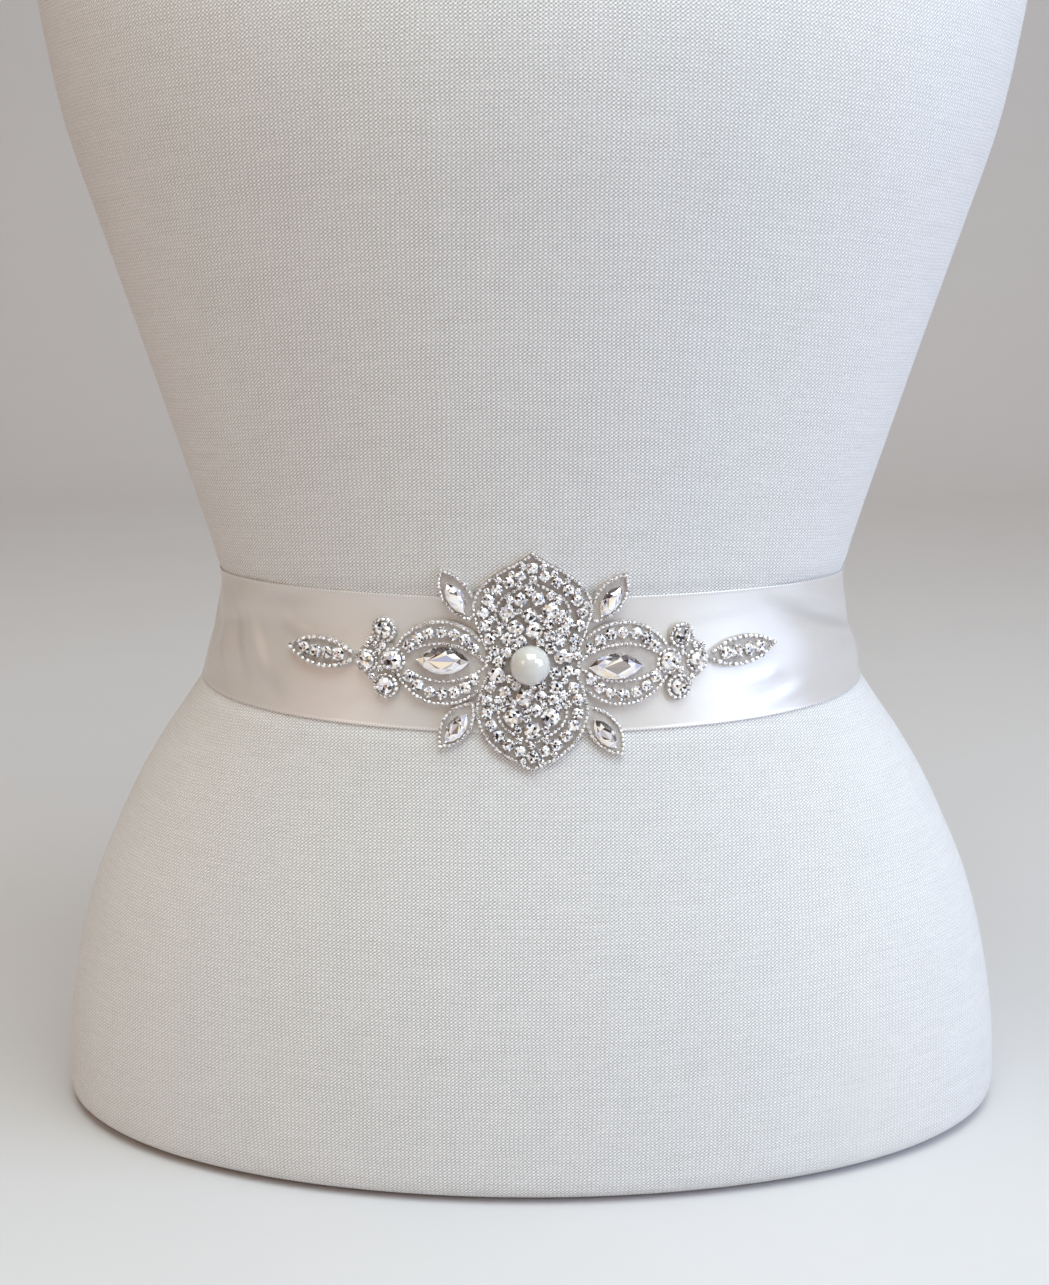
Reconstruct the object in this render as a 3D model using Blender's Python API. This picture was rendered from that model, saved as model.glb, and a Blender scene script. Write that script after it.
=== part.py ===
"""A satin ribbon sash belt with a beaded crystal motif, worn by a limbless dress form.

The belt's front faces -Y, up is +Z, and the origin is at the middle of the form's flat base.
Sizes are in millimetres until a mesh is written.
"""

import math
from collections import namedtuple

import bmesh
import bpy
from mathutils import Vector
from mathutils.geometry import delaunay_2d_cdt

MM = 0.001

# Dress form
BASE_EDGE_RADIUS = 10.0
NECK_EDGE_RADIUS = 7.0
EDGE_RINGS = 4
FORM_COLUMNS = 52
HIP_RINGS = 10
WAIST_RINGS = 5
CHEST_RINGS = 12
SHOULDER_RINGS = 8
NECK_RINGS = 3
SHOULDER_HEIGHT = 535.0
NECK_HEIGHT = 618.0
PRESS_DEPTH = 1.6
PRESS_RAMP = 3.5

# The form's sections are ellipses, with one depth in front and one behind
Section = namedtuple("Section", "height half_width front back")
FORM_SECTIONS = (
    Section(0, 198.2, 108.2, 110.5),
    Section(35, 196.0, 108.2, 115.0),
    Section(70, 189.9, 106.8, 117.5),
    Section(100, 181.3, 103.8, 117.0),
    Section(128, 169.1, 99.6, 112.0),
    Section(145, 160.4, 96.6, 106.5),
    Section(160, 151.2, 94.0, 100.0),
    Section(172, 142.8, 92.0, 94.5),
    Section(182, 136.4, 90.4, 90.0),
    Section(195, 131.6, 88.3, 86.5),
    Section(208, 128.3, 86.4, 84.2),
    Section(221, 126.2, 85.0, 83.2),
    Section(234, 127.2, 84.7, 83.0),
    Section(250, 131.5, 86.2, 84.5),
    Section(277, 139.7, 90.5, 88.5),
    Section(320, 152.9, 99.5, 95.0),
    Section(362, 166.1, 109.0, 100.5),
    Section(401, 178.0, 117.5, 103.0),
    Section(437, 184.8, 121.0, 103.5),
    Section(465, 188.2, 118.0, 102.5),
    Section(500, 190.0, 107.5, 99.5),
    Section(535, 188.5, 94.0, 94.0),
    Section(560, 180.0, 83.0, 88.5),
    Section(577, 163.0, 74.5, 83.0),
    Section(590, 137.0, 67.0, 78.0),
    Section(600, 108.0, 60.5, 73.0),
    Section(609, 84.0, 55.0, 68.0),
    Section(618, 68.0, 52.0, 63.0),
    Section(630, 59.0, 51.5, 58.0),
    Section(645, 55.5, 52.5, 55.0),
    Section(664, 55.0, 53.0, 54.0),
)

# Satin ribbon
RIBBON_WIDTH = 50.0
RIBBON_WALL = 1.0
RIBBON_GAP = 0.6
RIBBON_LAP = 60.0
LAP_GAP = 0.4
LAP_RISE_LENGTH = 40.0
RIBBON_COLUMN_LENGTH = 6.4
RIBBON_ROWS = 8
FOLDS_END = 272.0
FOLDS_FADE = 32.0

# The heights of the ribbon's two edges, by the turn in degrees away from the centre front
RibbonEdge = namedtuple("RibbonEdge", "turn top bottom")
RIBBON_EDGES = (
    RibbonEdge(0, 233.4, 183.6),
    RibbonEdge(30, 233.2, 183.7),
    RibbonEdge(60, 231.6, 184.2),
    RibbonEdge(86, 229.2, 185.2),
    RibbonEdge(120, 230.0, 184.8),
    RibbonEdge(150, 231.6, 184.0),
    RibbonEdge(180, 232.2, 183.4),
    RibbonEdge(210, 231.6, 184.0),
)
RIBBON_MIDDLE = 0.5 * (RIBBON_EDGES[0].top + RIBBON_EDGES[0].bottom)

# Soft pull folds: middle along and up the ribbon, half length, half width, tilt in degrees, rise
Fold = namedtuple("Fold", "along up length width tilt rise")
RIBBON_FOLDS = (
    Fold(137, 18, 41, 9, -13, 1.4),
    Fold(140, -6, 44, 14, -9, 2.0),
    Fold(89, -12, 13, 5, 12, 0.4),
    Fold(-131, 15, 36, 10, 10, 1.4),
    Fold(-139, -9, 40, 13, 16, 1.9),
    Fold(-97, 15, 14, 5, 4, 0.4),
    Fold(206, 6, 42, 12, 6, 1.3),
    Fold(232, -12, 46, 11, -5, 1.5),
    Fold(262, 10, 38, 10, -10, 1.6),
    Fold(-203, -3, 42, 13, -7, 1.4),
    Fold(-238, 12, 48, 11, 5, 1.6),
    Fold(-264, -10, 36, 10, 9, 1.4),
)

# Beaded motif: a backing that follows the front of the form, with round crystals raised on it
MOTIF_LIFT = 0.4
MOTIF_WALL = 1.0
MOTIF_CENTRE_UP = 0.6
MOTIF_HALF_LENGTH = 98.0
MOTIF_HALF_HEIGHT = 43.0
OUTLINE_STEP = 2.6
DISC_SIDES = 14
CENTRE_DISC_SIDES = 32
OGEE_STEPS = 18
OGEE_FOOT_STEPS = 5
FILL_STEP = 6.0
FILL_CLEARANCE = 0.8
CHATON_SIDES = 8
CHATON_PHASE = 0.4
CHATON_TABLE = 0.6
CHATON_HEIGHT = 1.6
STONE_GAP = 0.3
MERGE_DISTANCE = 0.01
INSIDE_ONLY = 1
SMOOTH_ANGLE = 60.0
CHATON_ANGLE = 35.0
FACET_ANGLE = 20.0

# One half of each ogee petal's outline, from its point to the motif's middle
OgeePoint = namedtuple("OgeePoint", "place across up")
UPPER_OGEE = (
    OgeePoint(0, 0.0, 42.8),
    OgeePoint(1, 5.4, 39.0),
    OgeePoint(2, 12.4, 35.0),
    OgeePoint(3, 18.8, 29.4),
    OgeePoint(4, 22.0, 21.4),
    OgeePoint(5, 19.6, 11.6),
    OgeePoint(6, 15.0, 0.0),
)
LOWER_OGEE = (
    OgeePoint(0, 0.0, -39.6),
    OgeePoint(1, 5.6, -36.8),
    OgeePoint(2, 12.0, -33.0),
    OgeePoint(3, 17.6, -27.0),
    OgeePoint(4, 20.6, -18.6),
    OgeePoint(5, 19.2, -10.0),
    OgeePoint(6, 15.0, 0.0),
)
OGEE_ARCH_END = 5.0

# Pointed ovals of the backing: middle along and up, length, width, tilt in degrees
Leaf = namedtuple("Leaf", "along up length width tilt")
SIDE_PETALS = (
    Leaf(33.0, 0.0, 38.0, 32.0, 0),
    Leaf(-33.0, 0.0, 38.0, 32.0, 0),
)
SLANTED_LEAVES = {
    "upper_right": Leaf(28.2, 24.7, 22.6, 11.4, 57),
    "upper_left": Leaf(-27.6, 25.8, 23.0, 11.4, 120),
    "lower_right": Leaf(26.4, -24.8, 23.0, 11.4, -54),
    "lower_left": Leaf(-27.6, -22.8, 21.6, 11.2, -126),
}
TIP_LEAVES = (
    Leaf(80.4, 1.2, 31.4, 11.8, 4),
    Leaf(-80.2, 0.6, 31.4, 11.8, 178),
)

# Discs of the backing, one under each cluster stone, with a hub between them
Disc = namedtuple("Disc", "along up radius")
CENTRE_DISC = Disc(0, 0, 15.0)
CLUSTER_HUB = Disc(57.0, -0.2, 8.0)
CLUSTER_DISCS = {
    "top_right": Disc(55.2, 9.0, 4.9),
    "top_left": Disc(-54.8, 11.0, 4.9),
    "bottom_right": Disc(54.2, -10.2, 4.9),
    "bottom_left": Disc(-54.1, -9.8, 4.9),
    "inner_right": Disc(50.2, -0.2, 4.9),
    "inner_left": Disc(-51.2, 0.0, 4.9),
    "outer_right": Disc(61.2, -0.8, 4.6),
    "outer_left": Disc(-61.5, -1.0, 4.6),
}

# Round crystals raised on the backing
CENTRE_RING = Disc(0, 0, 11.0)
CENTRE_RING_STONES = 12
CENTRE_RING_STONE = 2.3
OGEE_ROW_SCALE = 0.82
OGEE_ROW_SHIFT = 2.2
OGEE_ROW_STONES = 13
OGEE_ROW_STONE = 2.2
OGEE_INNER_STONES = (
    Disc(0, 25.6, 2.3),
    Disc(7.6, 20.6, 2.4),
    Disc(-7.6, 20.6, 2.4),
    Disc(0, 18.4, 2.5),
)
PETAL_ROW_RADIUS = 15.0
PETAL_ROW_DROP = 3.4
PETAL_ROW_STEP = 18.6
PETAL_ROW_STONES = 6
PETAL_ROW_STONE = 2.1
TIP_ROW_STEP = 5.1
TIP_ROW_STONES = 4
TIP_ROW_STONE = 1.9

# Stones and pearl that are sewn on as separate pieces
PEARL_RADIUS = 7.4
PEARL_CUT = 5.6
PEARL_SIDES = 20
PEARL_RINGS = 7
PEARL_ALONG = -0.8
PETAL_STONES = {"right": Leaf(30.2, -1.2, 19.4, 9.2, 0), "left": Leaf(-32.4, 0.8, 19.0, 9.6, 0)}
PETAL_STONE_STEP = 3.4
LEAF_STONE_LENGTH = 12.6
LEAF_STONE_WIDTH = 6.2
LEAF_STONE_STEP = 2.6
LEAF_STONE_DROP = 1.2
CLUSTER_STONE_RADIUS = 3.1
CLUSTER_STONE_SIDES = 12

# Cut of every separate stone: share of its width at each level, and the level's share of its height
Level = namedtuple("Level", "height spread")
STONE_LEVELS = (Level(0, 0.94), Level(0.3, 1.0), Level(1.0, 0.52))
PETAL_STONE_HEIGHT = 3.4
LEAF_STONE_HEIGHT = 2.8
CLUSTER_STONE_HEIGHT = 2.8


def clear_scene():
    """Start from an empty scene."""
    for old in list(bpy.data.objects):
        bpy.data.objects.remove(old, do_unlink=True)


def make_material(name, colour, roughness, metallic=0.0):
    """A plain finish for one kind of piece."""
    material = bpy.data.materials.new(name)
    material.use_nodes = True
    shader = material.node_tree.nodes["Principled BSDF"]
    shader.inputs["Base Color"].default_value = (*colour, 1.0)
    shader.inputs["Roughness"].default_value = roughness
    shader.inputs["Metallic"].default_value = metallic
    material.diffuse_color = (*colour, 1.0)
    return material


def make_object(name, mesh, material, sharp_angle):
    """One named piece in the scene, its faces turned outward and its edges sharp past an angle."""
    work = bmesh.new()
    work.from_mesh(mesh)
    bmesh.ops.recalc_face_normals(work, faces=work.faces)
    work.to_mesh(mesh)
    work.free()
    mesh.shade_smooth()
    mesh.set_sharp_from_angle(angle=math.radians(sharp_angle))
    mesh.materials.append(material)
    piece = bpy.data.objects.new(name, mesh)
    bpy.context.collection.objects.link(piece)
    return piece


def new_mesh(name, points, faces):
    """A mesh in metres from points in millimetres."""
    mesh = bpy.data.meshes.new(name)
    mesh.from_pydata([tuple(Vector(point) * MM) for point in points], [], faces)
    return mesh


def ramp(value, start, end):
    """A soft step from 0 at start to 1 at end."""
    share = min(max((value - start) / (end - start), 0.0), 1.0)
    return share * share * (3.0 - 2.0 * share)


def read_table(rows, key, column, place):
    """The smooth curve through one column of a table, read at one place."""
    places = [getattr(row, key) for row in rows]
    values = [getattr(row, column) for row in rows]
    last = len(rows) - 1
    k = min(max(sum(1 for p in places if p <= place) - 1, 0), last - 1)

    def slope(i):
        low, high = max(i - 1, 0), min(i + 1, last)
        return (values[high] - values[low]) / (places[high] - places[low])

    span = places[k + 1] - places[k]
    u = min(max((place - places[k]) / span, 0.0), 1.0)
    return (
        values[k] * (2 * u**3 - 3 * u**2 + 1)
        + values[k + 1] * (3 * u**2 - 2 * u**3)
        + span * (slope(k) * (u**3 - 2 * u**2 + u) + slope(k + 1) * (u**3 - u**2))
    )


def section_point(turn, height, inset=0.0):
    """A point of the form's own outline at a height. Turn is 0 in front and 90 at the viewer's right."""
    angle = math.radians(turn)
    half_width = read_table(FORM_SECTIONS, "height", "half_width", height) - inset
    side = "front" if math.cos(angle) > 0 else "back"
    depth = read_table(FORM_SECTIONS, "height", side, height) - inset
    return Vector((half_width * math.sin(angle), -depth * math.cos(angle), height))


def surface_point(turn, height, outward):
    """A point at a distance outside the form's unpressed surface."""
    around = section_point(turn + 0.5, height) - section_point(turn - 0.5, height)
    upward = section_point(turn, height + 0.5) - section_point(turn, height - 0.5)
    return section_point(turn, height) + around.cross(upward).normalized() * outward


def ribbon_edge(turn, column):
    """The height of the ribbon's top or bottom edge at a turn."""
    return read_table(RIBBON_EDGES, "turn", column, abs(turn))


def press(turn, height):
    """How deep the tight ribbon presses the form's padding in."""
    top = ribbon_edge(turn, "top")
    bottom = ribbon_edge(turn, "bottom")
    below = ramp(height, bottom - PRESS_RAMP, bottom)
    above = 1.0 - ramp(height, top, top + PRESS_RAMP)
    return PRESS_DEPTH * below * above


def measure_waist():
    """Pairs of turn and arc length along the ribbon's middle, from the centre front past the back."""
    pairs = [(0.0, 0.0)]
    for degree in range(1, 211):
        before = section_point(degree - 1, RIBBON_MIDDLE, PRESS_DEPTH)
        after = section_point(degree, RIBBON_MIDDLE, PRESS_DEPTH)
        pairs.append((float(degree), pairs[-1][1] + (after - before).length))
    return pairs


WAIST = measure_waist()
WAIST_HALF = WAIST[180][1]


def turn_at(along):
    """The turn at a distance along the ribbon from the centre front."""
    length = abs(along)
    for (turn_a, length_a), (turn_b, length_b) in zip(WAIST, WAIST[1:]):
        if length <= length_b:
            turn = turn_a + (turn_b - turn_a) * (length - length_a) / (length_b - length_a)
            return math.copysign(turn, along)
    return math.copysign(WAIST[-1][0], along)


def height_at(turn, up):
    """The height of a place that lies up from the ribbon's middle line."""
    top = ribbon_edge(turn, "top")
    bottom = ribbon_edge(turn, "bottom")
    return 0.5 * (top + bottom) + up * (top - bottom) / RIBBON_WIDTH


def fold_rise(along, up):
    """How far the ribbon's soft folds stand off the form."""
    total = 0.0
    for fold in RIBBON_FOLDS:
        tilt = math.radians(fold.tilt)
        dx, dy = along - fold.along, up - fold.up
        p = (dx * math.cos(tilt) + dy * math.sin(tilt)) / fold.length
        q = (dy * math.cos(tilt) - dx * math.sin(tilt)) / fold.width
        if abs(p) < 1 and abs(q) < 1:
            total += fold.rise * (1 - p * p) ** 2 * (1 - q * q) ** 2
    return total * (1.0 - ramp(abs(along), FOLDS_END, FOLDS_END + FOLDS_FADE))


def ribbon_point(along, up, depth):
    """A point of the ribbon, depth 0 on its inner face and RIBBON_WALL on its outer one."""
    turn = turn_at(along)
    lap_start = WAIST_HALF - 0.5 * RIBBON_LAP
    lap_lift = (RIBBON_WALL + LAP_GAP) * ramp(along, lap_start - LAP_RISE_LENGTH, lap_start)
    outward = RIBBON_GAP - PRESS_DEPTH + fold_rise(along, up) + lap_lift + depth
    return surface_point(turn, height_at(turn, up), outward)


def motif_point(along, up, outward):
    """A point over the motif's underside, at a place measured from the motif's middle."""
    height = height_at(turn_at(along), up + MOTIF_CENTRE_UP)
    waist = read_table(FORM_SECTIONS, "height", "half_width", RIBBON_MIDDLE)
    spread = waist / read_table(FORM_SECTIONS, "height", "half_width", height)
    return surface_point(turn_at(along * spread), height, MOTIF_LIFT + outward)


def bridge(rings):
    """Quads between rings of equal length, with one face over each end."""
    count = len(rings[0])
    points = [point for ring in rings for point in ring]
    faces = []
    for k in range(len(rings) - 1):
        for i in range(count):
            j = (i + 1) % count
            faces.append((k * count + i, k * count + j, (k + 1) * count + j, (k + 1) * count + i))
    last = (len(rings) - 1) * count
    faces.append(tuple(range(count)))
    faces.append(tuple(range(last, last + count)))
    return points, faces


def steps(start, end, count):
    """Evenly spaced values after start, up to and with end."""
    return [start + (end - start) * (k + 1) / count for k in range(count)]


def form_heights(turn):
    """The heights of the form's rings at a turn, so that its pressed band follows the ribbon."""
    bottom = ribbon_edge(turn, "bottom")
    top = ribbon_edge(turn, "top")
    heights = steps(BASE_EDGE_RADIUS, bottom - PRESS_RAMP, HIP_RINGS)
    heights += [bottom - 0.5 * PRESS_RAMP, bottom]
    heights += steps(bottom, top, WAIST_RINGS)
    heights += [top + 0.5 * PRESS_RAMP, top + PRESS_RAMP]
    heights += steps(top + PRESS_RAMP, SHOULDER_HEIGHT, CHEST_RINGS)
    heights += steps(SHOULDER_HEIGHT, NECK_HEIGHT, SHOULDER_RINGS)
    heights += steps(NECK_HEIGHT, FORM_SECTIONS[-1].height - NECK_EDGE_RADIUS, NECK_RINGS)
    return heights


def rounded_edge(radius, count):
    """Pairs of inset and rise for a rounded edge, from the flat face to the wall."""
    quarter = [0.5 * math.pi * k / count for k in range(count)]
    return [(radius * (1 - math.sin(a)), radius * (1 - math.cos(a))) for a in quarter]


def build_dress_form(material):
    """The form: a padded torso from its flat base to its neck cap."""
    turns = [360.0 * i / FORM_COLUMNS - 180.0 for i in range(FORM_COLUMNS)]
    neck_top = FORM_SECTIONS[-1].height
    rings = []
    for inset, rise in rounded_edge(BASE_EDGE_RADIUS, EDGE_RINGS):
        ring = [section_point(turn, BASE_EDGE_RADIUS, inset) for turn in turns]
        rings.append([Vector((p.x, p.y, rise)) for p in ring])
    rings.append([section_point(turn, BASE_EDGE_RADIUS) for turn in turns])
    columns = [form_heights(turn) for turn in turns]
    for k in range(len(columns[0])):
        ring = []
        for turn, heights in zip(turns, columns):
            ring.append(surface_point(turn, heights[k], -press(turn, heights[k])))
        rings.append(ring)
    for inset, rise in reversed(rounded_edge(NECK_EDGE_RADIUS, EDGE_RINGS)):
        ring = [section_point(turn, neck_top - NECK_EDGE_RADIUS, inset) for turn in turns]
        rings.append([Vector((p.x, p.y, neck_top - rise)) for p in ring])
    points, faces = bridge(rings)
    return make_object("dress_form", new_mesh("dress_form", points, faces), material, SMOOTH_ANGLE)


def build_sash_band(material):
    """The ribbon: one thin wall wound once round the waist, its outer end lapped over at the back."""
    reach = WAIST_HALF + 0.5 * RIBBON_LAP
    count = round(2 * reach / RIBBON_COLUMN_LENGTH)
    ups = [RIBBON_WIDTH * (k / (RIBBON_ROWS - 1) - 0.5) for k in range(RIBBON_ROWS)]
    rings = []
    for i in range(count + 1):
        along = -reach + 2 * reach * i / count
        outer = [ribbon_point(along, up, RIBBON_WALL) for up in ups]
        inner = [ribbon_point(along, up, 0.0) for up in reversed(ups)]
        rings.append(outer + inner)
    points, faces = bridge(rings)
    return make_object("sash_band", new_mesh("sash_band", points, faces), material, SMOOTH_ANGLE)


def place_leaf(leaf, outline):
    """Turn an outline by a leaf's tilt and move it to the leaf's middle."""
    tilt = math.radians(leaf.tilt)
    return [
        (
            leaf.along + x * math.cos(tilt) - y * math.sin(tilt),
            leaf.up + x * math.sin(tilt) + y * math.cos(tilt),
        )
        for x, y in outline
    ]


def pointed_oval(length, width, step):
    """A pointed oval: two arcs that meet in points at its ends."""
    half, rise = 0.5 * length, 0.5 * width
    radius = (half**2 + rise**2) / (2 * rise)
    sweep = math.asin(min(half / radius, 1.0))
    count = max(4, round(2 * sweep * radius / step))
    arc = []
    for k in range(count):
        angle = -sweep + 2 * sweep * k / count
        arc.append((radius * math.sin(angle), radius * math.cos(angle) - (radius - rise)))
    return arc + [(-x, -y) for x, y in arc]


def circle(disc, count, phase=0.0):
    """Points evenly round a disc."""
    angles = [2 * math.pi * k / count + phase for k in range(count)]
    return [(disc.along + disc.radius * math.cos(a), disc.up + disc.radius * math.sin(a)) for a in angles]


def ogee_half(table, scale, end, count):
    """Points down one half of an ogee petal, from its point to a place in its table."""
    places = [end * k / count for k in range(count + 1)]
    return [
        (scale * read_table(table, "place", "across", place), scale * read_table(table, "place", "up", place))
        for place in places
    ]


def ogee_outline(table):
    """A closed ogee petal, its foot across the motif's middle."""
    half = ogee_half(table, 1.0, len(table) - 1, OGEE_STEPS)
    half += [(x, 0.0) for x in steps(half[-1][0], 0.0, OGEE_FOOT_STEPS)]
    return half + [(-x, y) for x, y in reversed(half[1:-1])]


def motif_outlines():
    """The overlapping shapes whose union is the backing."""
    outlines = [ogee_outline(UPPER_OGEE), ogee_outline(LOWER_OGEE), circle(CENTRE_DISC, CENTRE_DISC_SIDES)]
    for leaf in (*SIDE_PETALS, *SLANTED_LEAVES.values(), *TIP_LEAVES):
        outlines.append(place_leaf(leaf, pointed_oval(leaf.length, leaf.width, OUTLINE_STEP)))
    hubs = (CLUSTER_HUB, CLUSTER_HUB._replace(along=-CLUSTER_HUB.along))
    for disc in (*hubs, *CLUSTER_DISCS.values()):
        outlines.append(circle(disc, DISC_SIDES))
    return outlines


def even_points(path, count):
    """Points evenly spaced along an open path, with one at each end."""
    lengths = [0.0]
    for a, b in zip(path, path[1:]):
        lengths.append(lengths[-1] + math.dist(a, b))
    places = []
    k = 0
    for i in range(count):
        target = lengths[-1] * i / (count - 1)
        while k < len(path) - 2 and lengths[k + 1] < target:
            k += 1
        share = (target - lengths[k]) / (lengths[k + 1] - lengths[k])
        places.append(tuple(a + share * (b - a) for a, b in zip(path[k], path[k + 1])))
    return places


def chaton_places():
    """The round crystals that are raised on the backing, as discs."""
    stones = []
    for k in range(CENTRE_RING_STONES):
        angle = 2 * math.pi * (k + 0.5) / CENTRE_RING_STONES
        x = CENTRE_RING.radius * math.cos(angle)
        y = CENTRE_RING.radius * math.sin(angle)
        stones.append(Disc(x, y, CENTRE_RING_STONE))
    for table, side in ((UPPER_OGEE, 1), (LOWER_OGEE, -1)):
        half = ogee_half(table, OGEE_ROW_SCALE, OGEE_ARCH_END, 30)
        arch = [(-x, y) for x, y in reversed(half[1:])] + half
        row = even_points(arch, OGEE_ROW_STONES)
        stones += [Disc(x, y + side * OGEE_ROW_SHIFT, OGEE_ROW_STONE) for x, y in row]
        stones += [Disc(d.along, side * d.up, d.radius) for d in OGEE_INNER_STONES]
    for petal in SIDE_PETALS:
        for side in (1, -1):
            for k in range(PETAL_ROW_STONES):
                angle = math.radians(90 + PETAL_ROW_STEP * (k - 0.5 * (PETAL_ROW_STONES - 1)))
                x = petal.along + PETAL_ROW_RADIUS * math.cos(angle)
                y = side * (PETAL_ROW_RADIUS * math.sin(angle) - PETAL_ROW_DROP)
                stones.append(Disc(x, y, PETAL_ROW_STONE))
    for leaf in TIP_LEAVES:
        row = [(TIP_ROW_STEP * (k - 0.5 * (TIP_ROW_STONES - 1)), 0.0) for k in range(TIP_ROW_STONES)]
        stones += [Disc(x, y, TIP_ROW_STONE) for x, y in place_leaf(leaf, row)]
    return stones


def raised_loops(stones):
    """Rings of points round each raised crystal: its foot on the backing and its table above."""
    loops = []
    for stone in stones:
        for share, height in ((1.0, 0.0), (CHATON_TABLE, CHATON_HEIGHT)):
            ring = stone._replace(radius=stone.radius * share)
            loops.append((circle(ring, CHATON_SIDES, CHATON_PHASE), MOTIF_WALL + height))
    return loops


def fill_points(stones):
    """Points spread over the motif, clear of its crystals, so that the backing bends smoothly."""
    points = []
    row_height = FILL_STEP * math.sqrt(0.75)
    rows = math.ceil(MOTIF_HALF_HEIGHT / row_height)
    columns = math.ceil(MOTIF_HALF_LENGTH / FILL_STEP)
    for row in range(-rows, rows + 1):
        for column in range(-columns, columns + 1):
            point = (FILL_STEP * (column + 0.5 * (row % 2)), row_height * row)
            gaps = [math.dist(point, (stone.along, stone.up)) - stone.radius for stone in stones]
            if min(gaps, default=FILL_STEP) > FILL_CLEARANCE:
                points.append(point)
    return points


def triangulate(outlines, loops, extra):
    """Triangles over the union of the outlines, with each vertex's raise above the underside."""
    coords, edges, faces, raises = [], [], [], []
    for outline in outlines:
        faces.append(list(range(len(coords), len(coords) + len(outline))))
        coords += outline
        raises += [MOTIF_WALL] * len(outline)
    for ring, height in loops:
        first = len(coords)
        edges += [(first + k, first + (k + 1) % len(ring)) for k in range(len(ring))]
        coords += ring
        raises += [height] * len(ring)
    coords += extra
    raises += [MOTIF_WALL] * len(extra)
    points, _, triangles, sources, _, _ = delaunay_2d_cdt(
        [Vector(point) for point in coords], edges, faces, INSIDE_ONLY, MERGE_DISTANCE
    )
    heights = [max((raises[i] for i in source), default=MOTIF_WALL) for source in sources]
    return points, triangles, heights


def outline_edges(triangles):
    """The edges that only one triangle uses, in the direction that the triangle runs."""
    seen = set()
    for a, b, c in triangles:
        for edge in ((a, b), (b, c), (c, a)):
            seen.add(edge)
    return [edge for edge in seen if (edge[1], edge[0]) not in seen]


def build_motif(material):
    """The backing: a plate whose outer face carries the round crystals over a plain inside."""
    outlines = motif_outlines()
    stones = chaton_places()
    top, top_faces, heights = triangulate(outlines, raised_loops(stones), fill_points(stones))
    under, under_faces, _ = triangulate(outlines, [], fill_points([]))
    points = [motif_point(p.x, p.y, height) for p, height in zip(top, heights)]
    points += [motif_point(p.x, p.y, 0.0) for p in under]
    first = len(top)
    faces = [tuple(face) for face in top_faces]
    faces += [tuple(first + i for i in reversed(face)) for face in under_faces]
    rim = outline_edges(under_faces)
    twins = {}
    rim_top = {i for edge in outline_edges(top_faces) for i in edge}
    for i in {i for edge in rim for i in edge}:
        twins[i] = min(rim_top, key=lambda j: (top[j] - under[i]).length)
    for a, b in rim:
        faces.append((first + a, first + b, twins[b], twins[a]))
    used = sorted({i for face in faces for i in face})
    order = {old: new for new, old in enumerate(used)}
    points = [points[i] for i in used]
    faces = [tuple(order[i] for i in face) for face in faces]
    return make_object("applique", new_mesh("applique", points, faces), material, CHATON_ANGLE)


def stone_frame(along, up):
    """The middle of a stone's seat on the backing and its directions along, up and out."""
    seat = motif_point(along, up, MOTIF_WALL + STONE_GAP)
    sideways = (motif_point(along + 1, up, 0) - motif_point(along - 1, up, 0)).normalized()
    upward = (motif_point(along, up + 1, 0) - motif_point(along, up - 1, 0)).normalized()
    return seat, sideways, upward, sideways.cross(upward).normalized()


def build_stone(name, leaf, outline, height, levels, material):
    """One separate stone: its outline drawn in from level to level up to its flat table."""
    seat, sideways, upward, outward = stone_frame(leaf.along, leaf.up)
    rings = []
    for level in levels:
        flat = place_leaf(leaf, [(x * level.spread, y * level.spread) for x, y in outline])
        rise = outward * (height * level.height)
        rings.append(
            [seat + sideways * (x - leaf.along) + upward * (y - leaf.up) + rise for x, y in flat]
        )
    points, faces = bridge(rings)
    return make_object(name, new_mesh(name, points, faces), material, FACET_ANGLE)


def build_stones(crystal, pearl):
    """The pearl and the large stones that are sewn on one by one."""
    dome_height = 2 * PEARL_RADIUS - PEARL_CUT
    foot = math.asin((PEARL_CUT - PEARL_RADIUS) / PEARL_RADIUS)
    dome = []
    for k in range(PEARL_RINGS):
        angle = foot + (0.5 * math.pi - foot) * k / PEARL_RINGS
        rise = PEARL_RADIUS * (1 + math.sin(angle)) - PEARL_CUT
        dome.append(Level(rise / dome_height, math.cos(angle)))
    round_pearl = circle(Disc(0, 0, PEARL_RADIUS), PEARL_SIDES)
    build_stone("centre_pearl", Leaf(PEARL_ALONG, 0, 0, 0, 0), round_pearl, dome_height, dome, pearl)
    for word, leaf in PETAL_STONES.items():
        outline = pointed_oval(leaf.length, leaf.width, PETAL_STONE_STEP)
        build_stone(f"petal_stone_{word}", leaf, outline, PETAL_STONE_HEIGHT, STONE_LEVELS, crystal)
    for place, disc in CLUSTER_DISCS.items():
        spot = Leaf(disc.along, disc.up, 0, 0, 0)
        outline = circle(Disc(0, 0, CLUSTER_STONE_RADIUS), CLUSTER_STONE_SIDES)
        name = f"cluster_stone_{place}"
        build_stone(name, spot, outline, CLUSTER_STONE_HEIGHT, STONE_LEVELS, crystal)
    for place, leaf in SLANTED_LEAVES.items():
        outline = pointed_oval(LEAF_STONE_LENGTH, LEAF_STONE_WIDTH, LEAF_STONE_STEP)
        leaf = leaf._replace(up=leaf.up - LEAF_STONE_DROP)
        build_stone(f"leaf_stone_{place}", leaf, outline, LEAF_STONE_HEIGHT, STONE_LEVELS, crystal)


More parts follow.
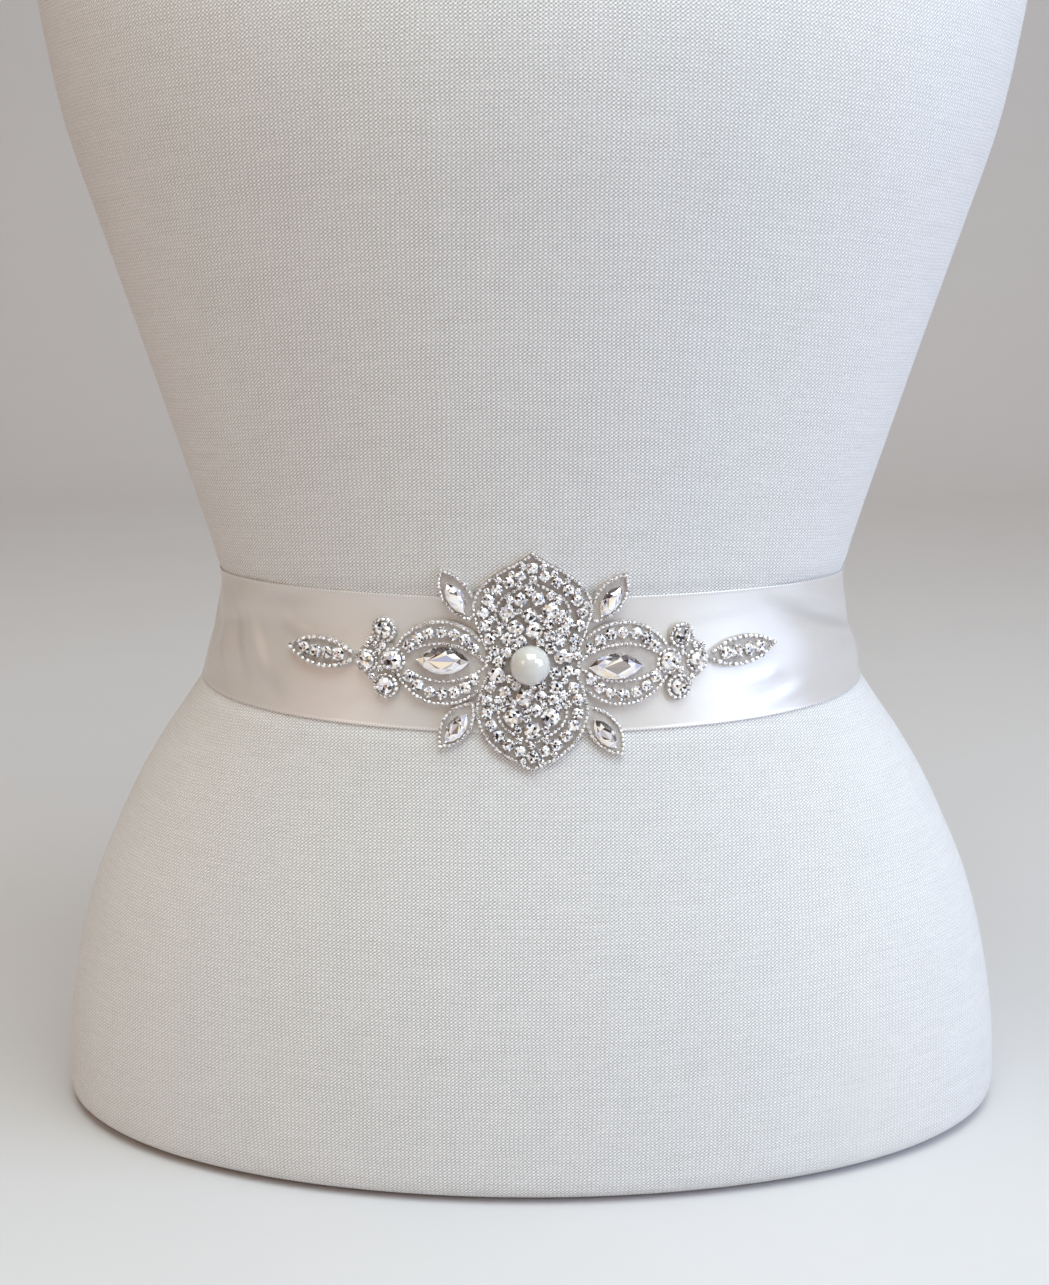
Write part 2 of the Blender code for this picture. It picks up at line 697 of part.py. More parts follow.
def main():
    """Build every piece."""
    clear_scene()
    jersey = make_material("white jersey", (0.80, 0.80, 0.79), 0.9)
    satin = make_material("ivory satin", (0.86, 0.84, 0.82), 0.35)
    backing = make_material("beaded backing", (0.55, 0.53, 0.50), 0.3, 0.4)
    crystal = make_material("clear crystal", (0.85, 0.87, 0.90), 0.05, 0.6)
    pearl = make_material("ivory pearl", (0.90, 0.87, 0.80), 0.2)
    build_dress_form(jersey)
    build_sash_band(satin)
    build_motif(backing)
    build_stones(crystal, pearl)


main()
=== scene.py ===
"""A satin ribbon sash belt with a beaded crystal motif, worn by a limbless dress form.

The belt's front faces -Y, up is +Z, and the origin is at the middle of the form's flat base.
Sizes are in millimetres until a mesh is written.
"""

import math
from collections import namedtuple

import bpy
import numpy as np
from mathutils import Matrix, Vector
from mathutils.geometry import delaunay_2d_cdt


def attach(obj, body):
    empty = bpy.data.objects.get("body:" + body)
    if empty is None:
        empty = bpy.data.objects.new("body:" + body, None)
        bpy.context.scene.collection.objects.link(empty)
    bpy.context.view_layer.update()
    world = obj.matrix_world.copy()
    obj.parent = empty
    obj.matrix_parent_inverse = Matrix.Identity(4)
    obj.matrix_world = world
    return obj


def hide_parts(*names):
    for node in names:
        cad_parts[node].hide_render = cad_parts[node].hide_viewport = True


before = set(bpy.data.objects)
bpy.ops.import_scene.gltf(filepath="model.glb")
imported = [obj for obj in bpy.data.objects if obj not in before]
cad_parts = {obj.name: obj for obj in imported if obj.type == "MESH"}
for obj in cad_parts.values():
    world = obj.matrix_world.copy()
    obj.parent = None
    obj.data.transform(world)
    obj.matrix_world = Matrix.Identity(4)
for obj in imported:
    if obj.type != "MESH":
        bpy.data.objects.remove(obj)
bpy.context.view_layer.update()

# Dress form: a stuffed torso under a white cotton jersey cover. The cover is cut in one piece, seamed down
# the centre back, pulled tight over the padding and turned under a card base.

MM = 0.001
BASE_EDGE_RADIUS = 10.0
NECK_EDGE_RADIUS = 7.0
PRESS_DEPTH = 1.6
PRESS_RAMP = 6.0

# The form's sections are ellipses, with one depth in front and one behind
Section = namedtuple("Section", "height half_width front back")
FORM_SECTIONS = (
    Section(0, 198.2, 108.2, 110.5),
    Section(35, 196.0, 108.2, 115.0),
    Section(70, 189.9, 106.8, 117.5),
    Section(100, 181.3, 103.8, 117.0),
    Section(128, 169.1, 99.6, 112.0),
    Section(145, 160.4, 96.6, 106.5),
    Section(160, 151.2, 94.0, 100.0),
    Section(172, 142.8, 92.0, 94.5),
    Section(182, 136.4, 90.4, 90.0),
    Section(195, 131.6, 88.3, 86.5),
    Section(208, 128.3, 86.4, 84.2),
    Section(221, 126.2, 85.0, 83.2),
    Section(234, 127.2, 84.7, 83.0),
    Section(250, 131.5, 86.2, 84.5),
    Section(277, 139.7, 90.5, 88.5),
    Section(320, 152.9, 99.5, 95.0),
    Section(362, 166.1, 109.0, 100.5),
    Section(401, 178.0, 117.5, 103.0),
    Section(437, 184.8, 121.0, 103.5),
    Section(465, 188.2, 118.0, 102.5),
    Section(500, 190.0, 107.5, 99.5),
    Section(535, 188.5, 94.0, 94.0),
    Section(560, 180.0, 83.0, 88.5),
    Section(577, 163.0, 74.5, 83.0),
    Section(590, 137.0, 67.0, 78.0),
    Section(600, 108.0, 60.5, 73.0),
    Section(609, 84.0, 55.0, 68.0),
    Section(618, 68.0, 52.0, 63.0),
    Section(630, 59.0, 51.5, 58.0),
    Section(645, 55.5, 52.5, 55.0),
    Section(664, 55.0, 53.0, 54.0),
)

# The heights of the ribbon's two edges, by the turn in degrees away from the centre front
RibbonEdge = namedtuple("RibbonEdge", "turn top bottom")
RIBBON_EDGES = (
    RibbonEdge(0, 233.4, 183.6),
    RibbonEdge(30, 233.2, 183.7),
    RibbonEdge(60, 231.6, 184.2),
    RibbonEdge(86, 229.2, 185.2),
    RibbonEdge(120, 230.0, 184.8),
    RibbonEdge(150, 231.6, 184.0),
    RibbonEdge(180, 232.2, 183.4),
    RibbonEdge(210, 231.6, 184.0),
)

FORM_TURNS = 150
SEAM_TURNS = (0.15, 0.35, 0.6, 0.95, 1.5)
SEAM_DEPTH = 0.7
SEAM_HALF_WIDTH = 0.5
TURNED_UNDER = 24.0
HEM_SHARES = (1.0, 0.95, 0.5)
CARD_RECESS = 0.8
CARD_INSET = 90.0
HEM_RIDGE_HEIGHT = 5.2
HEM_RIDGE_RISE = 0.45
HEM_RIDGE_WIDTH = 1.5
BASE_EDGE_RINGS = 12
PRESSED_SHARE = 0.6
SHOULDER_HEIGHT = 535.0
NECK_HEIGHT = 618.0
NECK_EDGE_RINGS = 8
NECK_CAP_RINGS = 3
NECK_CAP_INSETS = (9.0, 40.0)

JERSEY_WHITE = (0.97, 0.97, 0.965)
JERSEY_SHADE = (0.22, 0.215, 0.21)
JERSEY_LIGHT = 0.65
JERSEY_CONTRAST = 1.75
# How far round from the centre front the painted side shade and the softer knit come to full strength
JERSEY_SIDE_SPAN = 150.0
JERSEY_WALE = 1.62
JERSEY_COURSE = 1.31
CARD_GREY = (0.42, 0.39, 0.36)
FULL_TURN = 2 * math.pi


def ramp(value, start, end):
    """A soft step from 0 at start to 1 at end."""
    share = np.clip((value - start) / (end - start), 0.0, 1.0)
    return share * share * (3.0 - 2.0 * share)


def read_table(rows, key, column, place):
    """The smooth curve through one column of a table, read at many places."""
    places = np.array([getattr(row, key) for row in rows], float)
    values = np.array([getattr(row, column) for row in rows], float)
    before = np.maximum(np.arange(len(rows)) - 1, 0)
    after = np.minimum(np.arange(len(rows)) + 1, len(rows) - 1)
    slopes = (values[after] - values[before]) / (places[after] - places[before])
    k = np.clip(np.searchsorted(places, place, side="right") - 1, 0, len(rows) - 2)
    span = places[k + 1] - places[k]
    u = np.clip((place - places[k]) / span, 0.0, 1.0)
    return (
        values[k] * (2 * u**3 - 3 * u**2 + 1)
        + values[k + 1] * (3 * u**2 - 2 * u**3)
        + span * (slopes[k] * (u**3 - 2 * u**2 + u) + slopes[k + 1] * (u**3 - u**2))
    )


def section_point(turn, height, inset=0.0):
    """Points of the form's outline. Turn is 0 in front and 90 at the viewer's right."""
    turn, height, inset = np.broadcast_arrays(turn, height, inset)
    angle = np.radians(turn)
    half_width = read_table(FORM_SECTIONS, "height", "half_width", height) - inset
    front = read_table(FORM_SECTIONS, "height", "front", height) - inset
    back = read_table(FORM_SECTIONS, "height", "back", height) - inset
    depth = np.where(np.cos(angle) > 0, front, back)
    return np.stack([half_width * np.sin(angle), -depth * np.cos(angle), height], axis=-1)


def unit(vectors):
    """The same directions with length 1."""
    return vectors / np.linalg.norm(vectors, axis=-1, keepdims=True)


def surface_point(turn, height, outward):
    """Points at a distance outside the form's unpressed surface."""
    around = section_point(turn + 0.5, height) - section_point(turn - 0.5, height)
    upward = section_point(turn, height + 0.5) - section_point(turn, height - 0.5)
    outward = np.asarray(outward, float)[..., None]
    return section_point(turn, height) + unit(np.cross(around, upward)) * outward


def ribbon_edge(turn, column):
    """The height of the ribbon's top or bottom edge at a turn."""
    return read_table(RIBBON_EDGES, "turn", column, np.abs(turn))


def press(turn, height):
    """How deep the tight ribbon presses the padding in."""
    top = ribbon_edge(turn, "top")
    bottom = ribbon_edge(turn, "bottom")
    below = ramp(height, bottom - PRESS_RAMP, bottom)
    above = 1.0 - ramp(height, top, top + PRESS_RAMP)
    return PRESS_DEPTH * below * above


def grid_mesh(name, points, wraps=False, cloth=None):
    """A smooth mesh over rows and columns of points. Columns that wrap round are closed at both ends.

    Cloth is where each point lies on the flat cut."""
    rows, columns = points.shape[:2]
    row, column = np.meshgrid(np.arange(rows - 1), np.arange(columns - (not wraps)), indexing="ij")
    corner_rows = np.stack([row, row, row + 1, row + 1], axis=-1).reshape(-1, 4)
    corner_columns = np.stack([column, column + 1, column + 1, column], axis=-1).reshape(-1, 4)
    if wraps:
        k = np.arange(columns // 2 - 1)
        strip = np.stack([k, k + 1, columns - 2 - k, columns - 1 - k], axis=-1)
        corner_rows = np.concatenate([corner_rows, strip * 0, strip * 0 + rows - 1])
        corner_columns = np.concatenate([corner_columns, strip[:, ::-1], strip])
    quads = corner_rows * columns + corner_columns % columns
    mesh = bpy.data.meshes.new(name)
    mesh.from_pydata((points.reshape(-1, 3) * MM).tolist(), [], quads.tolist())
    if cloth is not None:
        flat = cloth[corner_rows, corner_columns].astype(np.float32)
        mesh.uv_layers.new(name="cloth").data.foreach_set("uv", flat.ravel())
    mesh.shade_smooth()
    return mesh


class Value:
    """A number that changes over a surface: a shader socket that takes part in sums."""

    def __init__(self, finish, socket):
        self.finish = finish
        self.socket = socket

    def math(self, operation, *others):
        return self.finish.node("ShaderNodeMath", {"operation": operation}, (self, *others))

    def __add__(self, other):
        return self.math("ADD", other)

    def __sub__(self, other):
        return self.math("SUBTRACT", other)

    def __rsub__(self, other):
        return self.finish.node("ShaderNodeMath", {"operation": "SUBTRACT"}, (other, self))

    def __mul__(self, other):
        return self.math("MULTIPLY", other)

    def __truediv__(self, other):
        return self.math("DIVIDE", other)

    def __abs__(self):
        return self.math("ABSOLUTE")

    __radd__ = __add__
    __rmul__ = __mul__


class Finish:
    """One material. The constants go straight onto its shader's sockets."""

    def __init__(self, name, constants):
        self.material = bpy.data.materials.new(name)
        self.material.use_nodes = True
        self.nodes = self.material.node_tree.nodes
        self.shader = self.nodes["Principled BSDF"]
        for socket, value in constants.items():
            self.feed(socket, value)

    def feed(self, socket, value, node=None):
        """Gives a socket of the shader, or of another node, a value or a link."""
        socket = (node or self.shader).inputs[socket]
        if isinstance(value, Value):
            self.material.node_tree.links.new(value.socket, socket)
        elif value is not None:
            socket.default_value = (*value, 1.0) if socket.type == "RGBA" else value

    def node(self, kind, settings, inputs=(), output=0):
        """Adds one node: its settings first, then the values or links of its sockets."""
        node = self.nodes.new(kind)
        for key, value in settings.items():
            setattr(node, key, value)
        for socket, value in inputs.items() if isinstance(inputs, dict) else enumerate(inputs):
            self.feed(socket, value, node)
        return Value(self, node.outputs[output])

    def mix(self, share, colour, other):
        """One colour where share is 0 and the other where it is 1."""
        settings = {"data_type": "RGBA"}
        return self.node("ShaderNodeMix", settings, {0: share, 6: colour, 7: other}, output=2)

    def bump(self, height, distance, strength=1.0):
        """Fine relief on the surface."""
        inputs = {"Strength": strength, "Distance": distance, "Height": height}
        self.feed("Normal", self.node("ShaderNodeBump", {}, inputs))

    def cloth(self):
        """The place on the flat cut: across in millimetres, then along."""
        place = self.node("ShaderNodeUVMap", {"uv_map": "cloth"})
        across = self.node("ShaderNodeSeparateXYZ", {}, (place,), output=0)
        along = self.node("ShaderNodeSeparateXYZ", {}, (place,), output=1)
        return across, along

    def noise(self, across, along, scale, detail=2.0):
        """A soft random value from 0 to 1 over two directions of the cloth."""
        place = self.node("ShaderNodeCombineXYZ", {}, (across, along))
        return self.node("ShaderNodeTexNoise", {}, {"Vector": place, "Scale": scale, "Detail": detail})


def add_piece(name, mesh, finish):
    """Puts a piece in the scene, carried by the form and with its finish in its mesh's material slot."""
    mesh.materials.append(finish.material)
    piece = bpy.data.objects.new(name, mesh)
    bpy.context.scene.collection.objects.link(piece)
    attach(piece, "root")
    return piece


def rounded_edge(radius, count):
    """Inset and rise of each ring round a rounded edge, from the flat face to the wall."""
    quarter = 0.5 * np.pi * np.arange(count) / count
    return radius * (1 - np.sin(quarter)), radius * (1 - np.cos(quarter))


RingSpan = namedtuple("RingSpan", "start end rings")


def form_rings(turns):
    """Rings of points up the form's cover, from the middle of its base to the middle of its neck cap."""
    rings = []
    neck_top = FORM_SECTIONS[-1].height
    for inset, rise in ((CARD_INSET, CARD_RECESS), (BASE_EDGE_RADIUS + TURNED_UNDER, CARD_RECESS)):
        rings.append(section_point(turns, BASE_EDGE_RADIUS, inset) * (1, 1, 0) + (0, 0, rise))
    for share in HEM_SHARES:
        inset = BASE_EDGE_RADIUS + TURNED_UNDER * share
        rings.append(section_point(turns, BASE_EDGE_RADIUS, inset) * (1, 1, 0))
    for inset, rise in zip(*rounded_edge(BASE_EDGE_RADIUS, BASE_EDGE_RINGS)):
        ridge = HEM_RIDGE_RISE * math.exp(-(((rise - HEM_RIDGE_HEIGHT) / HEM_RIDGE_WIDTH) ** 2))
        rings.append(section_point(turns, BASE_EDGE_RADIUS, inset - ridge) * (1, 1, 0) + (0, 0, rise))
    bottom = ribbon_edge(turns, "bottom")
    top = ribbon_edge(turns, "top")
    spans = (
        RingSpan(BASE_EDGE_RADIUS, bottom - PRESS_RAMP, 66),
        RingSpan(bottom - PRESS_RAMP, bottom, 5),
        RingSpan(bottom, top, 14),
        RingSpan(top, top + PRESS_RAMP, 5),
        RingSpan(top + PRESS_RAMP, SHOULDER_HEIGHT, 84),
        RingSpan(SHOULDER_HEIGHT, NECK_HEIGHT, 36),
        RingSpan(NECK_HEIGHT, neck_top - NECK_EDGE_RADIUS, 12),
    )
    for span in spans:
        for share in np.arange(span.rings) / span.rings:
            height = span.start + (span.end - span.start) * share
            rings.append(surface_point(turns, height, -PRESSED_SHARE * press(turns, height)))
    for inset, rise in reversed(list(zip(*rounded_edge(NECK_EDGE_RADIUS, NECK_EDGE_RINGS)))):
        ring = section_point(turns, neck_top - NECK_EDGE_RADIUS, inset)
        rings.append(ring * (1, 1, 0) + (0, 0, neck_top - rise))
    for inset in np.linspace(*NECK_CAP_INSETS, NECK_CAP_RINGS):
        ring = section_point(turns, neck_top - NECK_EDGE_RADIUS, inset)
        rings.append(ring * (1, 1, 0) + (0, 0, neck_top))
    return np.stack(rings)


def sink_back_seam(points, turns):
    """Draws the cover in along the seam down its centre back."""
    gap = 180.0 - np.abs(turns)
    depth = SEAM_DEPTH * np.exp(-((gap / SEAM_HALF_WIDTH) ** 2))
    middle = points.mean(axis=1, keepdims=True)
    inward = unit((middle - points) * (1, 1, 0) + (0, 1e-6, 0))
    on_wall = (points[..., 2] > HEM_RIDGE_HEIGHT) & (points[..., 2] < FORM_SECTIONS[-1].height - 1)
    return points + inward * (depth * on_wall)[..., None]


def cloth_places(points):
    """Where each point lies on the cloth: the distance round from the centre front, then up the cover."""
    points = np.concatenate([points, points[:, :1]], axis=1)
    across = np.linalg.norm(np.diff(points, axis=1), axis=-1).cumsum(axis=1)
    across = np.concatenate([across[:, :1] * 0, across], axis=1)
    across -= across[:, [np.argmin(points[0, :, 1])]]
    up = np.linalg.norm(np.diff(points, axis=0), axis=-1).cumsum(axis=0)
    up = np.concatenate([up[:1] * 0, up])
    return np.stack([across, up], axis=-1)


jersey = Finish(
    "white cotton jersey",
    {"Roughness": 0.92, "Sheen Weight": 0.15, "Sheen Roughness": 0.5, "Specular IOR Level": 0.25},
)
across, up = jersey.cloth()

# The loops stand in wales up the cover and in courses round it, and both wander a little
drift = jersey.noise(across, up, 0.06, 2.0)
wale = (across / JERSEY_WALE + drift * 1.2) * FULL_TURN
course = (up / JERSEY_COURSE + drift * 0.8) * FULL_TURN
twill = (wale - course).math("COSINE") + (wale + course).math("COSINE") * 0.55
stitch = (twill + wale.math("COSINE") * 0.45 + course.math("COSINE") * 0.4) / 4.8 + 0.5

# The yarn is uneven: long slubs round the cover, broad clouds and small flecks
slub = jersey.noise(across * 0.08, up, 0.5, 2.0)
cloud = jersey.noise(across, up, 0.02, 3.0)
fleck = jersey.noise(across, up, 0.9, 2.0)

# Towards the sides the knit's light and dark differ less, and the cover is painted a little darker there:
# painted shade, which leaves the middle of the front lighter
side = across / JERSEY_SIDE_SPAN
side_shade = (side * side).math("MINIMUM", 1.0)
uneven = (jersey.noise(across, up, 0.12, 2.0) * 0.35 + 0.72) * (1.0 - side_shade * 0.5)
soil = (slub - 0.5) * 0.14 + (cloud - 0.5) * 0.05 + (fleck - 0.5) * 0.35
shade = (JERSEY_LIGHT - stitch) * uneven * JERSEY_CONTRAST + side_shade * 0.1 + soil
knit = jersey.mix(shade.math("MAXIMUM", 0.0), JERSEY_WHITE, JERSEY_SHADE)
card = up.math("LESS_THAN", CARD_INSET - BASE_EDGE_RADIUS - TURNED_UNDER)
jersey.feed("Base Color", jersey.mix(card, knit, CARD_GREY))
jersey.bump(stitch + slub * 0.3 + fleck * 0.4, 0.0003, 0.9)

seam_turns = [180 - gap for gap in SEAM_TURNS]
turns = np.linspace(-180, 180, FORM_TURNS, endpoint=False)
turns = np.unique([*turns, *seam_turns, *[-turn for turn in seam_turns]])
form_points = sink_back_seam(form_rings(turns), turns)
form_cloth = cloth_places(form_points)

# The flat cap on the neck has its knit laid straight across
cap = form_points[-NECK_CAP_RINGS:]
form_cloth[-NECK_CAP_RINGS:] = (0, form_cloth[-1, 0, 1]) + np.concatenate([cap, cap[:, :1]], axis=1)[..., :2]
form_mesh = grid_mesh("form_cover", form_points, True, form_cloth)
form_cover = add_piece("form_cover", form_mesh, jersey)
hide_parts("dress_form")

# Ribbon: two-inch double-faced satin wound once round the waist and lapped at the centre back. Its long
# edges are woven selvages, its ends are turned under and stitched, and its pull folds come from the waist.

RIBBON_WIDTH = 50.0
RIBBON_WALL = 1.0
RIBBON_THICKNESS = 0.38
RIBBON_GAP = 0.75
RIBBON_LAP = 60.0
LAP_GAP = 0.4
LAP_RISE_LENGTH = 40.0
RIBBON_STEP = 1.6
RIBBON_ROWS = 42
EDGE_INSETS = (0.0, 0.12, 0.45, 0.75, 1.1, 1.5)
EDGE_ROUNDING = 0.15
INNER_HALF_WIDTH = 23.0
FOLDS_END = 272.0
FOLDS_FADE = 32.0
RIBBON_MIDDLE = 0.5 * (RIBBON_EDGES[0].top + RIBBON_EDGES[0].bottom)
SELVAGE_WIDTH = 0.9
SELVAGE_RISE = 0.14
END_HEM = 8.0
END_HEM_RISE = 0.35

SATIN_IVORY = (0.84, 0.82, 0.80)
SATIN_DEEP = (0.70, 0.675, 0.655)
# The colour of the painted shade in the satin's creases
SATIN_CREASE_SHADE = (0.56, 0.545, 0.535)
SELVAGE_WHITE = (0.90, 0.90, 0.90)
SELVAGE_RIB = 1.1

# Soft pull folds: middle along and up the ribbon, half length, half width, tilt in degrees, rise
Fold = namedtuple("Fold", "along up length width tilt rise")
RIBBON_FOLDS = (
    Fold(137, 18, 41, 9, -13, 1.4),
    Fold(140, -6, 44, 14, -9, 2.0),
    Fold(89, -12, 13, 5, 12, 0.4),
    Fold(-131, 15, 36, 10, 10, 1.4),
    Fold(-139, -9, 40, 13, 16, 1.9),
    Fold(-97, 15, 14, 5, 4, 0.4),
    Fold(206, 6, 42, 12, 6, 1.3),
    Fold(232, -12, 46, 11, -5, 1.5),
    Fold(262, 10, 38, 10, -10, 1.6),
    Fold(-203, -3, 42, 13, -7, 1.4),
    Fold(-238, 12, 48, 11, 5, 1.6),
    Fold(-264, -10, 36, 10, 9, 1.4),
)
FINE_FOLDS = (
    Fold(118, 18, 34, 6.5, -18, 1.0),
    Fold(150, 9, 28, 6.5, -18, 1.0),
    Fold(112, 12, 24, 4.4, -21, -1.3),
    Fold(140, 3, 28, 4.6, -17, -1.7),
    Fold(163, -14, 15, 5.5, 38, 0.9),
    Fold(87, -10, 13, 2.6, 7, 0.35),
    Fold(104, -17, 26, 4.0, 12, 0.5),
    Fold(-97, 14, 15, 3.6, -22, -0.7),
    Fold(-116, 2, 28, 5.2, -58, 0.9),
    Fold(-127, -2, 28, 4.8, -60, -0.6),
    Fold(-138, 2, 28, 5.8, -62, 0.5),
    Fold(-150, -2, 28, 5.2, -64, -0.6),
    Fold(-162, 4, 24, 5.0, -66, 0.7),
    Fold(196, 2, 28, 4.2, 18, -0.7),
    Fold(224, -4, 30, 4.0, -14, 0.6),
    Fold(250, 2, 28, 4.0, 12, -0.6),
    Fold(-190, 8, 28, 4.0, -16, -0.6),
    Fold(-222, 0, 32, 4.2, 10, 0.6),
    Fold(-252, -2, 28, 4.0, -12, -0.6),
)

# Painted shade in the satin's creases, laid out like the folds. The last value is how dark the painted shade
# is
CREASE_SHADES = (
    Fold(110, 13.5, 26, 4.2, -21, 0.5),
    Fold(138, 4.0, 28, 4.0, -17, 0.45),
    Fold(92, -10.5, 15, 3.0, 8, 0.3),
    Fold(70, 15, 26, 3.2, 6, 0.2),
    Fold(-98, 19, 20, 5.0, 4, 0.3),
    Fold(-96, 7.5, 11, 4.0, -20, 0.35),
    Fold(-102, -13, 16, 5.0, -35, 0.3),
    Fold(-124, 0, 26, 3.6, -60, 0.35),
    Fold(-137, -4, 24, 3.0, -62, 0.3),
    Fold(-150, 2, 22, 3.2, -64, 0.35),
    Fold(-60, -14, 22, 4.0, 14, 0.15),
    Fold(172, -6, 20, 4.0, 40, 0.4),
    Fold(204, 2, 26, 4.0, 18, 0.4),
    Fold(238, -4, 26, 4.0, -12, 0.4),
    Fold(-186, 6, 26, 4.0, -16, 0.4),
    Fold(-214, 0, 28, 4.0, 10, 0.4),
    Fold(-246, -4, 26, 4.0, -12, 0.4),
)

waist_turns = np.arange(0.0, 211.0)
waist_ring = section_point(waist_turns, RIBBON_MIDDLE, PRESS_DEPTH)
waist_lengths = np.linalg.norm(np.diff(waist_ring, axis=0), axis=-1).cumsum()
waist_lengths = np.concatenate([[0.0], waist_lengths])
WAIST_HALF = float(waist_lengths[180])


def turn_at(along):
    """The turn at a distance along the ribbon from the centre front."""
    return np.copysign(np.interp(np.abs(along), waist_lengths, waist_turns), along)


def height_at(turn, up):
    """The height of a place that lies up from the ribbon's middle line."""
    top = ribbon_edge(turn, "top")
    bottom = ribbon_edge(turn, "bottom")
    return 0.5 * (top + bottom) + up * (top - bottom) / RIBBON_WIDTH


def fold_sum(folds, along, up):
    """The sum of soft long mounds, one for each row of a table of folds."""
    total = np.zeros(np.broadcast(along, up).shape)
    for fold in folds:
        tilt = math.radians(fold.tilt)
        dx, dy = along - fold.along, up - fold.up
        p = np.clip((dx * math.cos(tilt) + dy * math.sin(tilt)) / fold.length, -1, 1)
        q = np.clip((dy * math.cos(tilt) - dx * math.sin(tilt)) / fold.width, -1, 1)
        total = total + fold.rise * (1 - p * p) ** 2 * (1 - q * q) ** 2
    return total


def fold_rise(along, up):
    """How far the ribbon's soft folds stand off the form."""
    total = np.maximum(fold_sum((*RIBBON_FOLDS, *FINE_FOLDS), along, up), -0.2)
    return total * (1.0 - ramp(np.abs(along), FOLDS_END, FOLDS_END + FOLDS_FADE))


def ribbon_point(along, up, depth):
    """Points of the ribbon, depth 0 on its inner face."""
    turn = turn_at(along)
    lap_start = WAIST_HALF - 0.5 * RIBBON_LAP
    lap_lift = (RIBBON_WALL + LAP_GAP) * ramp(along, lap_start - LAP_RISE_LENGTH, lap_start)
    outward = RIBBON_GAP - PRESS_DEPTH + fold_rise(along, up) + lap_lift + depth
    return surface_point(turn, height_at(turn, up), outward)


def ribbon_thickness(along, up, reach):
    """The satin's thickness, raised a little in the selvages and over the turned-under ends."""
    from_edge = 0.5 * RIBBON_WIDTH - np.abs(up)
    selvage = 1.0 - ramp(from_edge, 0.7 * SELVAGE_WIDTH, 1.3 * SELVAGE_WIDTH)
    hem = ramp(np.abs(along), reach - END_HEM - 0.5, reach - END_HEM + 0.5)
    return RIBBON_THICKNESS + SELVAGE_RISE * selvage + END_HEM_RISE * hem


satin = Finish(
    "ivory satin",
    {
        "Roughness": 0.36,
        "Metallic": 0.3,
        "Anisotropic": 0.7,
        "Anisotropic Rotation": 0.25,
        "Sheen Weight": 0.1,
        "Specular IOR Level": 0.6,
    },
)
across, up = satin.cloth()
selvage = (abs(up) - (0.5 * RIBBON_WIDTH - SELVAGE_WIDTH)).math("GREATER_THAN", 0.0)
ribs = (across * (FULL_TURN / SELVAGE_RIB)).math("SINE") * 0.5 + 0.5
floats = satin.noise(across * 0.06, up, 4.0, 2.0)
clouds = satin.noise(across * 0.5, up, 0.05, 2.0)
tone = satin.mix((floats - 0.5) * 0.5 + (clouds - 0.5) * 0.6 + 0.35, SATIN_IVORY, SATIN_DEEP)
# Painted shade darkens the satin along its creases
crease_shade = satin.node("ShaderNodeAttribute", {"attribute_name": "crease_shade"}, output="Fac")
tone = satin.mix(crease_shade, tone, SATIN_CREASE_SHADE)
edge = satin.mix(ribs, SELVAGE_WHITE, SATIN_DEEP)
satin.feed("Base Color", satin.mix(selvage, tone, edge))
satin.bump(floats * (1 - selvage) + ribs * selvage, 0.00012, 0.35)

reach = WAIST_HALF + 0.5 * RIBBON_LAP
alongs = np.linspace(-reach, reach, round(2 * reach / RIBBON_STEP) + 1)
edge_ups = 0.5 * RIBBON_WIDTH - np.array(EDGE_INSETS)
inner_ups = np.linspace(-INNER_HALF_WIDTH, INNER_HALF_WIDTH, RIBBON_ROWS - 2 * len(edge_ups))
ups = np.concatenate([-edge_ups, inner_ups, edge_ups[::-1]])
along_grid, up_grid = np.meshgrid(alongs, ups, indexing="ij")
rounding = np.where(np.abs(up_grid) > 0.5 * RIBBON_WIDTH - 0.1, EDGE_ROUNDING, 0.0)
thick = ribbon_thickness(along_grid, up_grid, reach)
outer = ribbon_point(along_grid, up_grid, thick - rounding)
inner = ribbon_point(along_grid, up_grid, rounding)
ribbon_points = np.concatenate([outer[:, ::-1], inner], axis=1)
flat = np.stack([along_grid, up_grid], axis=-1)
ribbon_flat = np.concatenate([flat[:, ::-1], flat, flat[:, -1:]], axis=1)
ribbon_mesh = grid_mesh("ribbon", ribbon_points, True, ribbon_flat)
# How deep the painted crease shade is at each point of the ribbon
crease_shade_share = np.clip(fold_sum(CREASE_SHADES, ribbon_flat[:, :-1, 0], ribbon_flat[:, :-1, 1]), 0, 1).astype(np.float32)
ribbon_mesh.attributes.new("crease_shade", "FLOAT", "POINT").data.foreach_set("value", crease_shade_share.ravel())
ribbon = add_piece("ribbon", ribbon_mesh, satin)
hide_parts("sash_band")

# Beaded motif, backing: a silvery net over stiff felt, cut out close round the beadwork and sewn down
# through the ribbon. It is the ground on which every bead and crystal is fixed.

MOTIF_LIFT = 0.4
MOTIF_WALL = 1.0
MOTIF_CENTRE_UP = 0.6
BACKING_STEP = 1.6
BACKING_REACH = (98.0, 44.0)
BACKING_EDGE = 0.15
NET_SINK = 0.6

NET_PITCH = 0.62
NET_SILVER = (0.72, 0.68, 0.65)
NET_SHADE = (0.48, 0.43, 0.395)
# The backing's side wall, painted pale towards the ribbon: partly the pale edge of the thin net, partly
# painted light where the wall lies in shade
NET_RIM_AND_PAINTED_LIGHT = (0.80, 0.78, 0.755)

# Painted shade: the net is painted darker at the motif's heart, where it lies in shadow between the imported
# crystals
HEART_PAINTED_SHADE = (0.34, 0.29, 0.255)
HEART_HALF_WIDTH = 17.0
HEART_DARKNESS = 0.75

